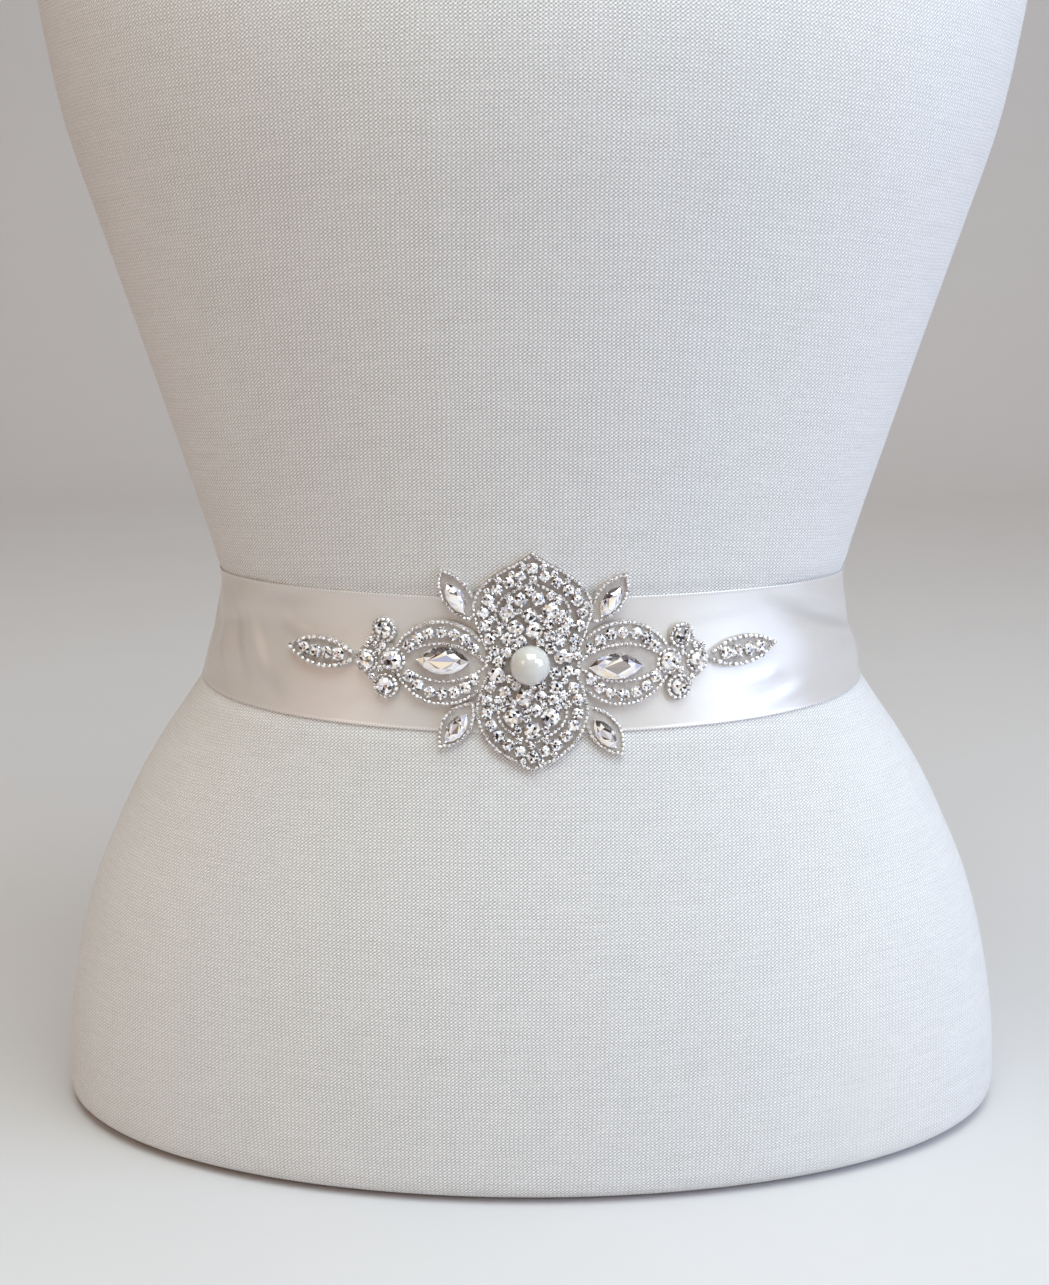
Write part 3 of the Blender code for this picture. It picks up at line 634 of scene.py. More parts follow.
# One half of each ogee petal's outline, from its point to the motif's middle
OgeePoint = namedtuple("OgeePoint", "place across up")
UPPER_OGEE = (
    OgeePoint(0, 0.0, 42.8),
    OgeePoint(1, 5.4, 39.0),
    OgeePoint(2, 12.4, 35.0),
    OgeePoint(3, 18.8, 29.4),
    OgeePoint(4, 22.0, 21.4),
    OgeePoint(5, 19.6, 11.6),
    OgeePoint(6, 15.0, 0.0),
)
LOWER_OGEE = (
    OgeePoint(0, 0.0, -39.6),
    OgeePoint(1, 5.6, -36.8),
    OgeePoint(2, 12.0, -33.0),
    OgeePoint(3, 17.6, -27.0),
    OgeePoint(4, 20.6, -18.6),
    OgeePoint(5, 19.2, -10.0),
    OgeePoint(6, 15.0, 0.0),
)

# Pointed ovals: middle along and up, length, width, tilt in degrees
Leaf = namedtuple("Leaf", "along up length width tilt")
SIDE_PETALS = (Leaf(33.0, 0.0, 38.0, 32.0, 0), Leaf(-33.0, 0.0, 38.0, 32.0, 0))
SLANTED_LEAVES = {
    "upper_right": Leaf(28.2, 24.7, 22.6, 11.4, 57),
    "upper_left": Leaf(-27.6, 25.8, 23.0, 11.4, 120),
    "lower_right": Leaf(26.4, -24.8, 23.0, 11.4, -54),
    "lower_left": Leaf(-27.6, -22.8, 21.6, 11.2, -126),
}
TIP_LEAVES = (Leaf(80.4, 1.2, 31.4, 11.8, 4), Leaf(-80.2, 0.6, 31.4, 11.8, 178))

# Discs: middle along and up, radius
Disc = namedtuple("Disc", "along up radius")
CENTRE_DISC = Disc(0, 0, 15.0)
CLUSTER_HUBS = (Disc(57.0, -0.2, 8.0), Disc(-57.0, -0.2, 8.0))
CLUSTER_DISCS = {
    "top_right": Disc(55.2, 9.0, 4.9),
    "top_left": Disc(-54.8, 11.0, 4.9),
    "bottom_right": Disc(54.2, -10.2, 4.9),
    "bottom_left": Disc(-54.1, -9.8, 4.9),
    "inner_right": Disc(50.2, -0.2, 4.9),
    "inner_left": Disc(-51.2, 0.0, 4.9),
    "outer_right": Disc(61.2, -0.8, 4.6),
    "outer_left": Disc(-61.5, -1.0, 4.6),
}


def motif_point(place, outward):
    """Points over the motif's underside, at places along and up from the motif's middle."""
    along, up = np.asarray(place, float)[..., 0], np.asarray(place, float)[..., 1]
    height = height_at(turn_at(along), up + MOTIF_CENTRE_UP)
    waist = read_table(FORM_SECTIONS, "height", "half_width", RIBBON_MIDDLE)
    spread = waist / read_table(FORM_SECTIONS, "height", "half_width", height)
    outward = MOTIF_LIFT + np.broadcast_to(outward, along.shape)
    return surface_point(turn_at(along * spread), height, outward)


def turned(leaf, outline):
    """An outline turned by a leaf's tilt and moved to the leaf's middle."""
    tilt = math.radians(leaf.tilt)
    x, y = np.asarray(outline, float).T
    across = leaf.along + x * math.cos(tilt) - y * math.sin(tilt)
    return np.stack([across, leaf.up + x * math.sin(tilt) + y * math.cos(tilt)], axis=-1)


def pointed_oval(length, width, count):
    """A pointed oval: two arcs that meet in points at its ends, with count points on each arc."""
    half, rise = 0.5 * length, 0.5 * width
    radius = (half**2 + rise**2) / (2 * rise)
    sweep = math.asin(min(half / radius, 1.0))
    angles = np.linspace(-sweep, sweep, count, endpoint=False)
    arc = np.stack([radius * np.sin(angles), radius * np.cos(angles) - (radius - rise)], axis=-1)
    return np.concatenate([arc, -arc])


def circle(disc, count):
    """Points evenly round a disc."""
    angles = 2 * np.pi * np.arange(count) / count
    return np.stack([disc.along + disc.radius * np.cos(angles), disc.up + disc.radius * np.sin(angles)], -1)


def ogee(table, last, count, scale=1.0, shift=0.0):
    """An open ogee petal from one foot over its point to the other, scaled and shifted up."""
    places = np.linspace(0, last, count)
    x = scale * read_table(table, "place", "across", places)
    y = scale * read_table(table, "place", "up", places) + shift
    half = np.stack([x, y], axis=-1)
    return np.concatenate([(half * (-1, 1))[:0:-1], half])


def leaf_outline(leaf, step=1.0):
    """The outline of a leaf of the backing."""
    return turned(leaf, pointed_oval(leaf.length, leaf.width, round(leaf.length / step)))


MOTIF_SHAPES = [ogee(UPPER_OGEE, 6, 50), ogee(LOWER_OGEE, 6, 50), circle(CENTRE_DISC, 48)]
MOTIF_SHAPES += [leaf_outline(leaf) for leaf in (*SIDE_PETALS, *SLANTED_LEAVES.values(), *TIP_LEAVES)]
MOTIF_SHAPES += [circle(disc, 28) for disc in (*CLUSTER_HUBS, *CLUSTER_DISCS.values())]


def backing_mesh():
    """The union of the motif's shapes as one thin plate that follows the form, and its flat area."""
    coords, faces = [], []
    for shape in MOTIF_SHAPES:
        faces.append(list(range(len(coords), len(coords) + len(shape))))
        coords += shape.tolist()
    across, up = np.meshgrid(*(np.arange(-reach, reach, BACKING_STEP) for reach in BACKING_REACH))
    coords += np.stack([across + 0.4 * (up % (2 * BACKING_STEP)), up], axis=-1).reshape(-1, 2).tolist()
    points, _, triangles, _, _, _ = delaunay_2d_cdt([Vector(c) for c in coords], [], faces, 1, 0.01)
    places = np.array([tuple(p) for p in points])
    used = np.unique(np.array(triangles))
    order = {int(old): new for new, old in enumerate(used)}
    triangles = [tuple(order[i] for i in face) for face in triangles]
    places = places[used]
    seen = {(a, b) for face in triangles for a, b in zip(face, face[1:] + face[:1])}
    rim = [(a, b) for a, b in seen if (b, a) not in seen]
    edge = np.zeros(len(places))
    edge[[a for a, _ in rim]] = BACKING_EDGE
    top, under = motif_point(places, MOTIF_WALL - 0.1 - edge), motif_point(places, -NET_SINK)
    count = len(places)
    faces = triangles + [tuple(count + i for i in reversed(face)) for face in triangles]
    faces += [(count + a, count + b, b, a) for a, b in rim]
    mesh = bpy.data.meshes.new("motif_backing")
    mesh.from_pydata((np.concatenate([top, under]) * MM).tolist(), [], faces)
    wall_share = np.repeat([0.0, 1.0], count).astype(np.float32)
    mesh.attributes.new("wall", "FLOAT", "POINT").data.foreach_set("value", wall_share)
    flat = np.concatenate([places, places])[[i for face in faces for i in face]]
    mesh.uv_layers.new(name="cloth").data.foreach_set("uv", flat.astype(np.float32).ravel())
    mesh.shade_smooth()
    mesh.set_sharp_from_angle(angle=math.radians(50))
    corners = places[np.array(triangles)]
    (ax, ay), (bx, by) = (corners[:, 1] - corners[:, 0]).T, (corners[:, 2] - corners[:, 0]).T
    return mesh, 0.5 * np.abs(ax * by - ay * bx).sum()


net = Finish("silver net over felt", {"Roughness": 0.5, "Metallic": 0.2})
across, up = net.cloth()
warp = ((across + up) * (FULL_TURN / NET_PITCH)).math("SINE")
threads = warp * ((across - up) * (FULL_TURN / NET_PITCH)).math("SINE")
patch = net.noise(across, up, 0.35, 3.0)
# Painted shade over the net at the motif's heart
heart_shade_share = abs(across).math("LESS_THAN", HEART_HALF_WIDTH) * HEART_DARKNESS
bright = net.mix(heart_shade_share, NET_SILVER, NET_SHADE)
dark = net.mix(heart_shade_share, NET_SHADE, HEART_PAINTED_SHADE)
ground = net.mix(abs(threads) * 0.6 + (patch - 0.4) * 1.1, bright, dark)
# The side wall is painted pale, partly painted light over its shade
wall = net.node("ShaderNodeAttribute", {"attribute_name": "wall"}, output="Fac")
net.feed("Base Color", net.mix(wall, ground, NET_RIM_AND_PAINTED_LIGHT))
net.bump(abs(threads), 0.0002, 0.6)
backing_plate, backing_area = backing_mesh()
backing = add_piece("motif_backing", backing_plate, net)
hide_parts("applique")

# Bead strings: small silver-lined glass beads, strung on thread and couched along every outline of the
# motif. The outer strings lie just inside the backing's edge, and inner ones frame its larger crystals.

BEAD_LENGTH = 1.35
BEAD_RADIUS = 0.58
BEAD_HOLE = 0.22
BEAD_SIDES = 7
BEAD_PITCH = 1.7
BEAD_INSET = 0.75
BEAD_CLEARANCE = 1.3
TIP_BEAD = 1.35
CLUSTER_BEAD = 1.12
BEAD_SEED = 7
BEAD_SIZE_SPREAD = 0.08
BEAD_PLACE_SPREAD = 0.08
BEAD_TILT_SPREAD = 0.18

# The inner string of each side petal, round its large crystal: length and width
MARQUISE = (34.0, 14.0)

# The inner string of the upper ogee petal, round the crystals at its heart
HEART_OUTLINE = (
    OgeePoint(0, 0.0, 31.4),
    OgeePoint(1, 4.6, 28.9),
    OgeePoint(2, 9.4, 26.2),
    OgeePoint(3, 12.8, 22.2),
    OgeePoint(4, 13.0, 17.6),
    OgeePoint(5, 10.4, 13.4),
)
LOWER_HEART_SCALE = 0.93

# Faces of a silver-lined bead: red, green, blue and how much of a mirror the face is. The bright and dark
# faces are painted glints and painted dark reflections
BEAD_PAINTED_GLINTS = (
    (0.98, 0.98, 1.0, 0.1),
    (0.95, 0.95, 0.97, 0.2),
    (0.90, 0.90, 0.92, 0.3),
    (0.90, 0.87, 0.82, 0.3),
    (0.58, 0.55, 0.53, 0.5),
    (0.34, 0.31, 0.29, 0.6),
)


def seats(places, outward, tilts):
    """The middle and the three directions of things that sit on the motif, as arrays."""
    places = np.asarray(places, float)
    tilts = np.asarray(tilts, float)[..., None]
    origin = motif_point(places, outward)
    sideways = unit(motif_point(places + (0.5, 0), 0.0) - motif_point(places - (0.5, 0), 0.0))
    upward = motif_point(places + (0, 0.5), 0.0) - motif_point(places - (0, 0.5), 0.0)
    out = unit(np.cross(sideways, upward))
    upward = np.cross(out, sideways)
    first = sideways * np.cos(tilts) + upward * np.sin(tilts)
    return origin, first, np.cross(out, first), out


def stamp(name, form, frames, sizes, tints, seed, scatter=1.0, shade_lean=(0, 0, 0)):
    """Many copies of one small form in one mesh, each face with a tint from a row of bright to dark ones. On
    crystals and beads these tints are painted glints and painted dark reflections; on silver they are its
    tone.

    Scatter is how much of the row chance picks from. Shade lean is the way that the faces painted darker
    look."""
    points, faces = form
    origin, first, second, out = frames
    sizes = np.broadcast_to(sizes, len(origin))[:, None, None]
    axes = np.stack([first, second, out], axis=1)
    placed = origin[:, None] + np.asarray(points, float) @ axes * sizes
    all_faces = [
        tuple(copy * len(points) + corner for corner in face) for copy in range(len(origin)) for face in faces
    ]
    mesh = bpy.data.meshes.new(name)
    mesh.from_pydata((placed.reshape(-1, 3) * MM).tolist(), [], all_faces)
    normals = np.array([polygon.normal[:] for polygon in mesh.polygons])
    chance = np.random.default_rng(seed).uniform(-0.5, 0.5, len(all_faces))
    share = np.clip(0.5 + scatter * chance + normals @ np.asarray(shade_lean, float), 0, 0.999)
    colours = np.array(tints, np.float32)[(share * len(tints)).astype(int)]
    mesh.attributes.new("tone_and_painted_glints", "FLOAT_COLOR", "FACE").data.foreach_set("color", colours.ravel())
    return mesh


def tinted(name, constants, painted_glow=0.0):
    """A finish whose colour and mirror share come from each face's tint, painted glints and painted dark
    reflections on crystals and beads. Bright faces get a painted glow, for light that the foil throws back.
    """
    finish = Finish(name, {**constants, "Emission Strength": painted_glow})
    tone_and_painted_glints = finish.node("ShaderNodeAttribute", {"attribute_name": "tone_and_painted_glints"})
    finish.feed("Base Color", tone_and_painted_glints)
    finish.feed("Emission Color", finish.node("ShaderNodeGamma", {}, (tone_and_painted_glints, 4.0)))
    finish.feed("Metallic", finish.node("ShaderNodeAttribute", {"attribute_name": "tone_and_painted_glints"}, output="Alpha"))
    return finish


def bead_form(length, radius, hole, sides):
    """A round-shouldered bead with its hole along the string."""
    half = 0.5 * length
    profile = ((-half, hole), (-half, 0.6 * radius), (-0.5 * half, radius))
    profile += ((0.5 * half, radius), (half, 0.6 * radius), (half, hole))
    angles = 2 * np.pi * np.arange(sides) / sides
    points = [(x, r * math.cos(a), r * math.sin(a)) for x, r in profile for a in angles]
    faces = []
    for k in range(len(profile)):
        for i in range(sides):
            j = (i + 1) % sides
            a, b = k * sides, (k + 1) % len(profile) * sides
            faces.append((a + i, a + j, b + j, b + i))
    return points, faces


def along_path(path, count, ends=0.0):
    """Places evenly spaced along a path, and its direction at each. Ends is 0.5 to start at its ends."""
    lengths = np.concatenate([[0], np.linalg.norm(np.diff(path, axis=0), axis=-1).cumsum()])
    targets = (np.arange(count) + 0.5 - ends) * lengths[-1] / (count - 2 * ends)
    places, ahead, behind = (
        np.stack([np.interp(targets + shift, lengths, path[:, k]) for k in (0, 1)], axis=-1)
        for shift in (0.0, 0.3, -0.3)
    )
    direction = ahead - behind
    return places, np.arctan2(direction[:, 1], direction[:, 0])


def drawn_in(path, distance, closed):
    """A path moved sideways, to the left of its direction."""
    before, after = np.roll(path, 1, axis=0), np.roll(path, -1, axis=0)
    if not closed:
        before[0], after[-1] = path[0], path[-1]
    direction = unit(after - before)
    moved = path + np.stack([-direction[:, 1], direction[:, 0]], axis=-1) * distance
    return np.concatenate([moved, moved[:1]]) if closed else moved


def inside(places, shape):
    """Whether each place lies inside a closed shape."""
    x, y = places[:, 0][:, None], places[:, 1][:, None]
    ax, ay = shape[:, 0][None], shape[:, 1][None]
    bx, by = np.roll(ax, -1, axis=1), np.roll(ay, -1, axis=1)
    crosses = (ay > y) != (by > y)
    at = ax + (y - ay) * (bx - ax) / np.where(by == ay, 1e-9, by - ay)
    return (crosses & (x < at)).sum(axis=1) % 2 == 1


BeadString = namedtuple("BeadString", "path hidden_by size")
ogee_shapes = tuple(MOTIF_SHAPES[:2])
petal_shapes = tuple(leaf_outline(leaf) for leaf in SIDE_PETALS)
cluster_shapes = tuple(circle(disc, 24) for disc in CLUSTER_DISCS.values())
heart = ogee(HEART_OUTLINE, 5, 60)
bead_strings = [
    BeadString(drawn_in(ogee(UPPER_OGEE, 5.6, 60), -BEAD_INSET, False), (), 1.0),
    BeadString(drawn_in(ogee(LOWER_OGEE, 5.6, 60), BEAD_INSET, False), (), 1.0),
    BeadString(heart, (), 1.0),
    BeadString(-LOWER_HEART_SCALE * heart, (), 1.0),
]
for disc in CLUSTER_DISCS.values():
    ring = circle(disc._replace(radius=disc.radius - BEAD_INSET), 40)
    bead_strings.append(BeadString(np.concatenate([ring, ring[:1]]), (), CLUSTER_BEAD))
for petal in SIDE_PETALS:
    outline = drawn_in(leaf_outline(petal, 0.5), -BEAD_INSET, True)
    marquise = turned(petal, pointed_oval(*MARQUISE, 40))
    for path in (outline, np.concatenate([marquise, marquise[:1]])):
        bead_strings.append(BeadString(path, ogee_shapes + cluster_shapes, 1.0))
for leaf in SLANTED_LEAVES.values():
    outline = drawn_in(leaf_outline(leaf, 0.5), -BEAD_INSET, True)
    bead_strings.append(BeadString(outline, ogee_shapes + petal_shapes, 1.0))
for leaf in TIP_LEAVES:
    outline = drawn_in(leaf_outline(leaf, 0.5), -BEAD_INSET, True)
    bead_strings.append(BeadString(outline, cluster_shapes, TIP_BEAD))

bead_places = np.zeros((0, 2))
bead_tilts = np.zeros(0)
bead_sizes = np.zeros(0)
for string in bead_strings:
    length = np.linalg.norm(np.diff(string.path, axis=0), axis=-1).sum()
    places, tilts = along_path(string.path, round(length / (BEAD_PITCH * string.size)))
    keep = np.ones(len(places), bool)
    for shape in string.hidden_by:
        keep &= ~inside(places, shape)
    if len(bead_places):
        gaps = np.linalg.norm(places[:, None] - bead_places[None], axis=-1).min(axis=1)
        keep &= gaps > BEAD_CLEARANCE * string.size
    bead_places = np.concatenate([bead_places, places[keep]])
    bead_tilts = np.concatenate([bead_tilts, tilts[keep]])
    bead_sizes = np.concatenate([bead_sizes, np.full(keep.sum(), string.size)])

rng = np.random.default_rng(BEAD_SEED)
bead_sizes = bead_sizes * (1.0 + BEAD_SIZE_SPREAD * rng.standard_normal(len(bead_places)).clip(-1.5, 1.5))
bead_places = bead_places + BEAD_PLACE_SPREAD * rng.standard_normal(bead_places.shape).clip(-1.5, 1.5)
bead_tilts = bead_tilts + BEAD_TILT_SPREAD * rng.standard_normal(len(bead_tilts))
bead_frames = seats(bead_places, MOTIF_WALL - 0.1 + 0.9 * BEAD_RADIUS, bead_tilts)
bead = bead_form(BEAD_LENGTH, BEAD_RADIUS, BEAD_HOLE, BEAD_SIDES)
gloss = {"Roughness": 0.16, "Coat Weight": 0.6, "Coat Roughness": 0.03}
# The beads' bright faces get a painted glow
glass = tinted("silver-lined glass beads", gloss, 0.12)
bead_mesh = stamp("bead_strings", bead, bead_frames, bead_sizes, BEAD_PAINTED_GLINTS, BEAD_SEED)
bead_mesh.shade_smooth()
bead_mesh.set_sharp_from_angle(angle=math.radians(40))
sewn_on = [add_piece("bead_strings", bead_mesh, glass)]

# Chatons: small round foil-backed crystals and one oval one, each in a silver setting with four claws. They
# stand in rows between the bead strings, and uneven sizes are packed together at the heart of each petal.

PEARL_DISC = Disc(-0.8, 0.0, 7.4)
OVAL_STONE = Leaf(11.3, 3.0, 7.4, 5.6, 10)
HEART_STONES = (
    Disc(0.7, 12.7, 3.3),
    Disc(-5.9, 13.9, 2.8),
    Disc(-9.0, 9.5, 2.4),
    Disc(-0.9, 18.6, 2.7),
    Disc(6.4, 20.4, 3.0),
    Disc(-9.0, 19.8, 3.0),
    Disc(-4.0, 24.6, 2.6),
    Disc(2.2, 24.9, 2.5),
    Disc(12.6, 15.4, 2.3),
    Disc(-12.8, -4.3, 3.1),
    Disc(-9.7, -10.2, 2.4),
    Disc(-2.8, -12.2, 3.2),
    Disc(-7.0, -19.3, 3.2),
    Disc(6.4, -19.3, 3.2),
    Disc(-0.1, -24.5, 3.2),
    Disc(1.0, -17.0, 2.3),
    Disc(3.0, -11.8, 2.3),
    Disc(8.4, -8.2, 2.5),
)
OGEE_ROW_SCALE = 0.81
OGEE_ROW_SHIFT = 2.0
OGEE_ROW_END = 5.2
OGEE_ROW_STONES = 15
OGEE_ROW_STONE = 2.15
PETAL_ROW_RADIUS = 15.0
PETAL_ROW_DROP = 3.4
PETAL_ROW_STEP = 17.6
PETAL_ROW_STONES = 7
PETAL_ROW_STONE = 2.15
TIP_ROW_STEP = 5.0
TIP_ROW_STONES = 4
TIP_ROW_STONE = 2.5
FILL_STONES = (2.2, 1.9, 1.6, 1.3)
FILL_MOST = 60
FILL_STEP = 0.35
FILL_ACROSS = (-66, 66)
FILL_UP = (-40, 43)
CHATON_JITTER = 0.2
CHATON_SPREAD = 0.06
CHATON_ROCK = 0.1
CHATON_SEAT = 0.5
CHATON_CLAW = 0.72
CHATON_SEED = 23
CHATON_TABLE = 0.55
CHATON_HEIGHT = 0.5
ROUND_CLAWS = (1, 4, 7, 10)
ROUND_FOOT = -0.2
OVAL_CLAW = 0.5
OVAL_SEED = 3

# Facets of a foil-backed crystal: red, green, blue and how much of a mirror the facet is. Their white, grey
# and black are painted reflections, picked by chance
CRYSTAL_PAINTED_FACETS = (
    (1.0, 1.0, 1.0, 0.05),
    (0.98, 0.98, 1.0, 0.1),
    (0.97, 0.97, 0.98, 0.2),
    (0.90, 0.82, 0.70, 0.3),
    (0.95, 0.95, 0.97, 0.3),
    (0.64, 0.68, 0.82, 0.3),
    (0.74, 0.73, 0.74, 0.4),
    (0.62, 0.58, 0.55, 0.5),
    (0.42, 0.37, 0.34, 0.6),
    (0.30, 0.27, 0.25, 0.7),
    (0.06, 0.055, 0.06, 0.9),
    (0.04, 0.04, 0.05, 0.9),
)
CLAW_SILVER = ((1.0, 1.0, 1.0, 0.35), (0.90, 0.90, 0.92, 0.6), (0.74, 0.74, 0.76, 0.8))


def round_cut(table, height):
    """A brilliant-cut crown of radius 1: table, stars, kites and girdle facets, each its own face."""
    corner = 2 * np.pi * np.arange(8) / 8
    girdle = 2 * np.pi * np.arange(16) / 16
    points = [(0, 0, height - 0.03)]
    for angles, radius, z in (
        (corner, table, height),
        (corner + np.pi / 8, 0.80, 0.66 * height),
        (girdle, 1.0, 0.12),
        (girdle, 0.94, -0.2),
    ):
        points += [(radius * math.cos(a), radius * math.sin(a), z) for a in angles]
    faces = []
    for i in range(8):
        j = (i + 1) % 8
        faces.append((0, 1 + i, 1 + j))
        faces.append((1 + i, 9 + i, 1 + j))
        faces.append((1 + j, 9 + i, 17 + 2 * j, 9 + j))
        faces.append((9 + i, 17 + 2 * i, 17 + 2 * i + 1))
        faces.append((9 + i, 17 + 2 * i + 1, 17 + 2 * j))
    for i in range(16):
        j = (i + 1) % 16
        faces.append((17 + i, 33 + i, 33 + j, 17 + j))
    return points, faces


def tube_faces(rings, sides):
    """The faces of a closed tube through rings of points."""
    faces = [tuple(range(sides))[::-1], tuple(range((rings - 1) * sides, rings * sides))]
    for k in range(rings - 1):
        for i in range(sides):
            j = (i + 1) % sides
            faces.append((k * sides + i, k * sides + j, (k + 1) * sides + j, (k + 1) * sides + i))
    return faces


# Rings up one claw: how far in over the stone, how high above the girdle, and how thick
ClawRing = namedtuple("ClawRing", "inward rise width")
CLAW_RINGS = (
    ClawRing(-0.06, -0.6, 0.24),
    ClawRing(-0.14, 0.0, 0.24),
    ClawRing(-0.04, 0.42, 0.26),
    ClawRing(0.22, 0.62, 0.3),
    ClawRing(0.5, 0.5, 0.2),
)
CLAW_CORNERS = (0.25, 0.75, 1.25, 1.75)


def claw(foot, inward, size):
    """One claw: a wire that rises outside the girdle and bends in over the stone to a rounded tip."""
    foot, inward = np.array((*foot, 0.0)), np.array((*inward, 0.0))
    sideways, up = np.array((-inward[1], inward[0], 0.0)), np.array((0, 0, 1.0))
    points = []
    for ring in CLAW_RINGS:
        middle = foot + size * (inward * ring.inward + up * ring.rise)
        for a in CLAW_CORNERS:
            across = sideways * math.cos(a * math.pi) + (up * 0.5 - inward * 0.6) * math.sin(a * math.pi)
            points.append(tuple(middle + size * ring.width * across))
    return points, tube_faces(len(CLAW_RINGS), len(CLAW_CORNERS))


# The setting's wall, as shares of the stone's girdle
WALL_INNER = 0.86
WALL_OUTER = 0.98


def setting(outline, foot, claws, size):
    """A stone's setting: a low wall under its girdle, with a claw at some of the outline's points."""
    outline = np.asarray(outline, float)
    count = len(outline)
    middle = outline.mean(axis=0)
    points, faces = [], []
    for spread, z in ((WALL_INNER, foot), (WALL_OUTER, foot), (WALL_OUTER, 0.0), (WALL_INNER, 0.0)):
        points += [(*(middle + (place - middle) * spread), z) for place in outline]
    for k in range(3):
        for i in range(count):
            j = (i + 1) % count
            faces.append((k * count + i, k * count + j, (k + 1) * count + j, (k + 1) * count + i))
    for index in claws:
        more, more_faces = claw(outline[index], unit(middle - outline[index]), size)
        faces += [tuple(len(points) + i for i in face) for face in more_faces]
        points += more
    return points, faces


def add_settings(name, form, frames, sizes):
    """The settings of a group of stones, joined in one piece."""
    mesh = stamp(name, form, frames, sizes, CLAW_SILVER, 1)
    mesh.shade_smooth()
    mesh.set_sharp_from_angle(angle=math.radians(60))
    sewn_on.append(add_piece(name, mesh, silver))


def rocked(frames, amount, seed):
    """The same seats with each stone tipped a little, as hand setting leaves it."""
    origin, first, second, out = frames
    rng = np.random.default_rng(seed)
    tip = amount * rng.standard_normal((2, len(origin), 1)).clip(-1.5, 1.5)
    out = unit(out + tip[0] * first + tip[1] * second)
    first = unit(first - out * (first * out).sum(axis=1, keepdims=True))
    return origin, first, np.cross(out, first), out


def fill_in(stones, places, bead_gaps, radius, most):
    """Adds up to so many stones, each where it fits nearest to the pearl."""
    for _ in range(most):
        gaps = np.min([np.hypot(*(places - (s.along, s.up)).T) - s.radius for s in stones], axis=0)
        fits = (gaps > 0.97 * radius) & (bead_gaps > radius + 0.5 * BEAD_RADIUS)
        if not fits.any():
            return
        nearest = np.argmin(np.where(fits, np.hypot(*places.T), np.inf))
        stones.append(Disc(*places[nearest], radius))


rng = np.random.default_rng(CHATON_SEED)
taken = [PEARL_DISC, Disc(*OVAL_STONE[:2], 0.45 * OVAL_STONE.length), *CLUSTER_DISCS.values()]
chatons = [*taken, *HEART_STONES]
for table, side in ((UPPER_OGEE, 1), (LOWER_OGEE, -1)):
    arch = ogee(table, OGEE_ROW_END, 60, OGEE_ROW_SCALE, side * OGEE_ROW_SHIFT)
    row, _ = along_path(arch, OGEE_ROW_STONES, ends=0.5)
    chatons += [Disc(x, y, OGEE_ROW_STONE) for x, y in row]
for petal in SIDE_PETALS:
    for side in (1, -1):
        for k in range(PETAL_ROW_STONES):
            angle = math.radians(90 + PETAL_ROW_STEP * (k - 0.5 * (PETAL_ROW_STONES - 1)))
            x = petal.along + PETAL_ROW_RADIUS * math.cos(angle)
            y = side * (PETAL_ROW_RADIUS * math.sin(angle) - PETAL_ROW_DROP)
            chatons.append(Disc(x, y, PETAL_ROW_STONE))
for leaf in TIP_LEAVES:
    row = [(TIP_ROW_STEP * (k - 0.5 * (TIP_ROW_STONES - 1)), 0.0) for k in range(TIP_ROW_STONES)]
    chatons += [Disc(x, y, TIP_ROW_STONE) for x, y in turned(leaf, row)]

field_x, field_y = np.meshgrid(*(np.arange(*span, FILL_STEP) for span in (FILL_ACROSS, FILL_UP)))
field = np.stack([field_x.ravel(), field_y.ravel()], axis=-1)
in_hearts = inside(field, ogee_shapes[0]) | inside(field, ogee_shapes[1])
in_hubs = np.any([inside(field, circle(disc, 24)) for disc in CLUSTER_HUBS], axis=0)
for radius in FILL_STONES:
    room = field[in_hearts | (in_hubs & (radius == FILL_STONES[-1]))]
    bead_gaps = np.min([np.hypot(*(room - place).T) for place in bead_places], axis=0)
    fill_in(chatons, room, bead_gaps, radius, FILL_MOST)
chatons = chatons[len(taken) :]

chaton_places = np.array([(d.along, d.up) for d in chatons])
chaton_places += CHATON_JITTER * rng.uniform(-1, 1, chaton_places.shape)
chaton_sizes = np.array([d.radius for d in chatons])
chaton_sizes *= rng.uniform(1 - CHATON_SPREAD, 1 + CHATON_SPREAD, len(chatons))
chaton_frames = seats(chaton_places, MOTIF_WALL + CHATON_SEAT, rng.uniform(0, 2 * math.pi, len(chatons)))
chaton_frames = rocked(chaton_frames, CHATON_ROCK, CHATON_SEED)
# The crystals' bright facets get a painted glow, for light that the foil throws back
crystal = tinted("foil-backed crystal", {"Roughness": 0.07, "Coat Weight": 1.0, "Coat Roughness": 0.02}, 0.15)
silver = tinted("polished silver settings", {})
polish = silver.node("ShaderNodeTexNoise", {}, {"Scale": 900.0, "Detail": 2.0})
silver.feed("Roughness", polish * 0.3 + 0.08)
chaton_cut = round_cut(CHATON_TABLE, CHATON_HEIGHT)
chaton_mesh = stamp("chatons", chaton_cut, chaton_frames, chaton_sizes, CRYSTAL_PAINTED_FACETS, CHATON_SEED)
sewn_on.append(add_piece("chatons", chaton_mesh, crystal))
round_setting = setting(circle(Disc(0, 0, 1), 12), ROUND_FOOT, ROUND_CLAWS, CHATON_CLAW)
add_settings("chaton_settings", round_setting, chaton_frames, chaton_sizes)

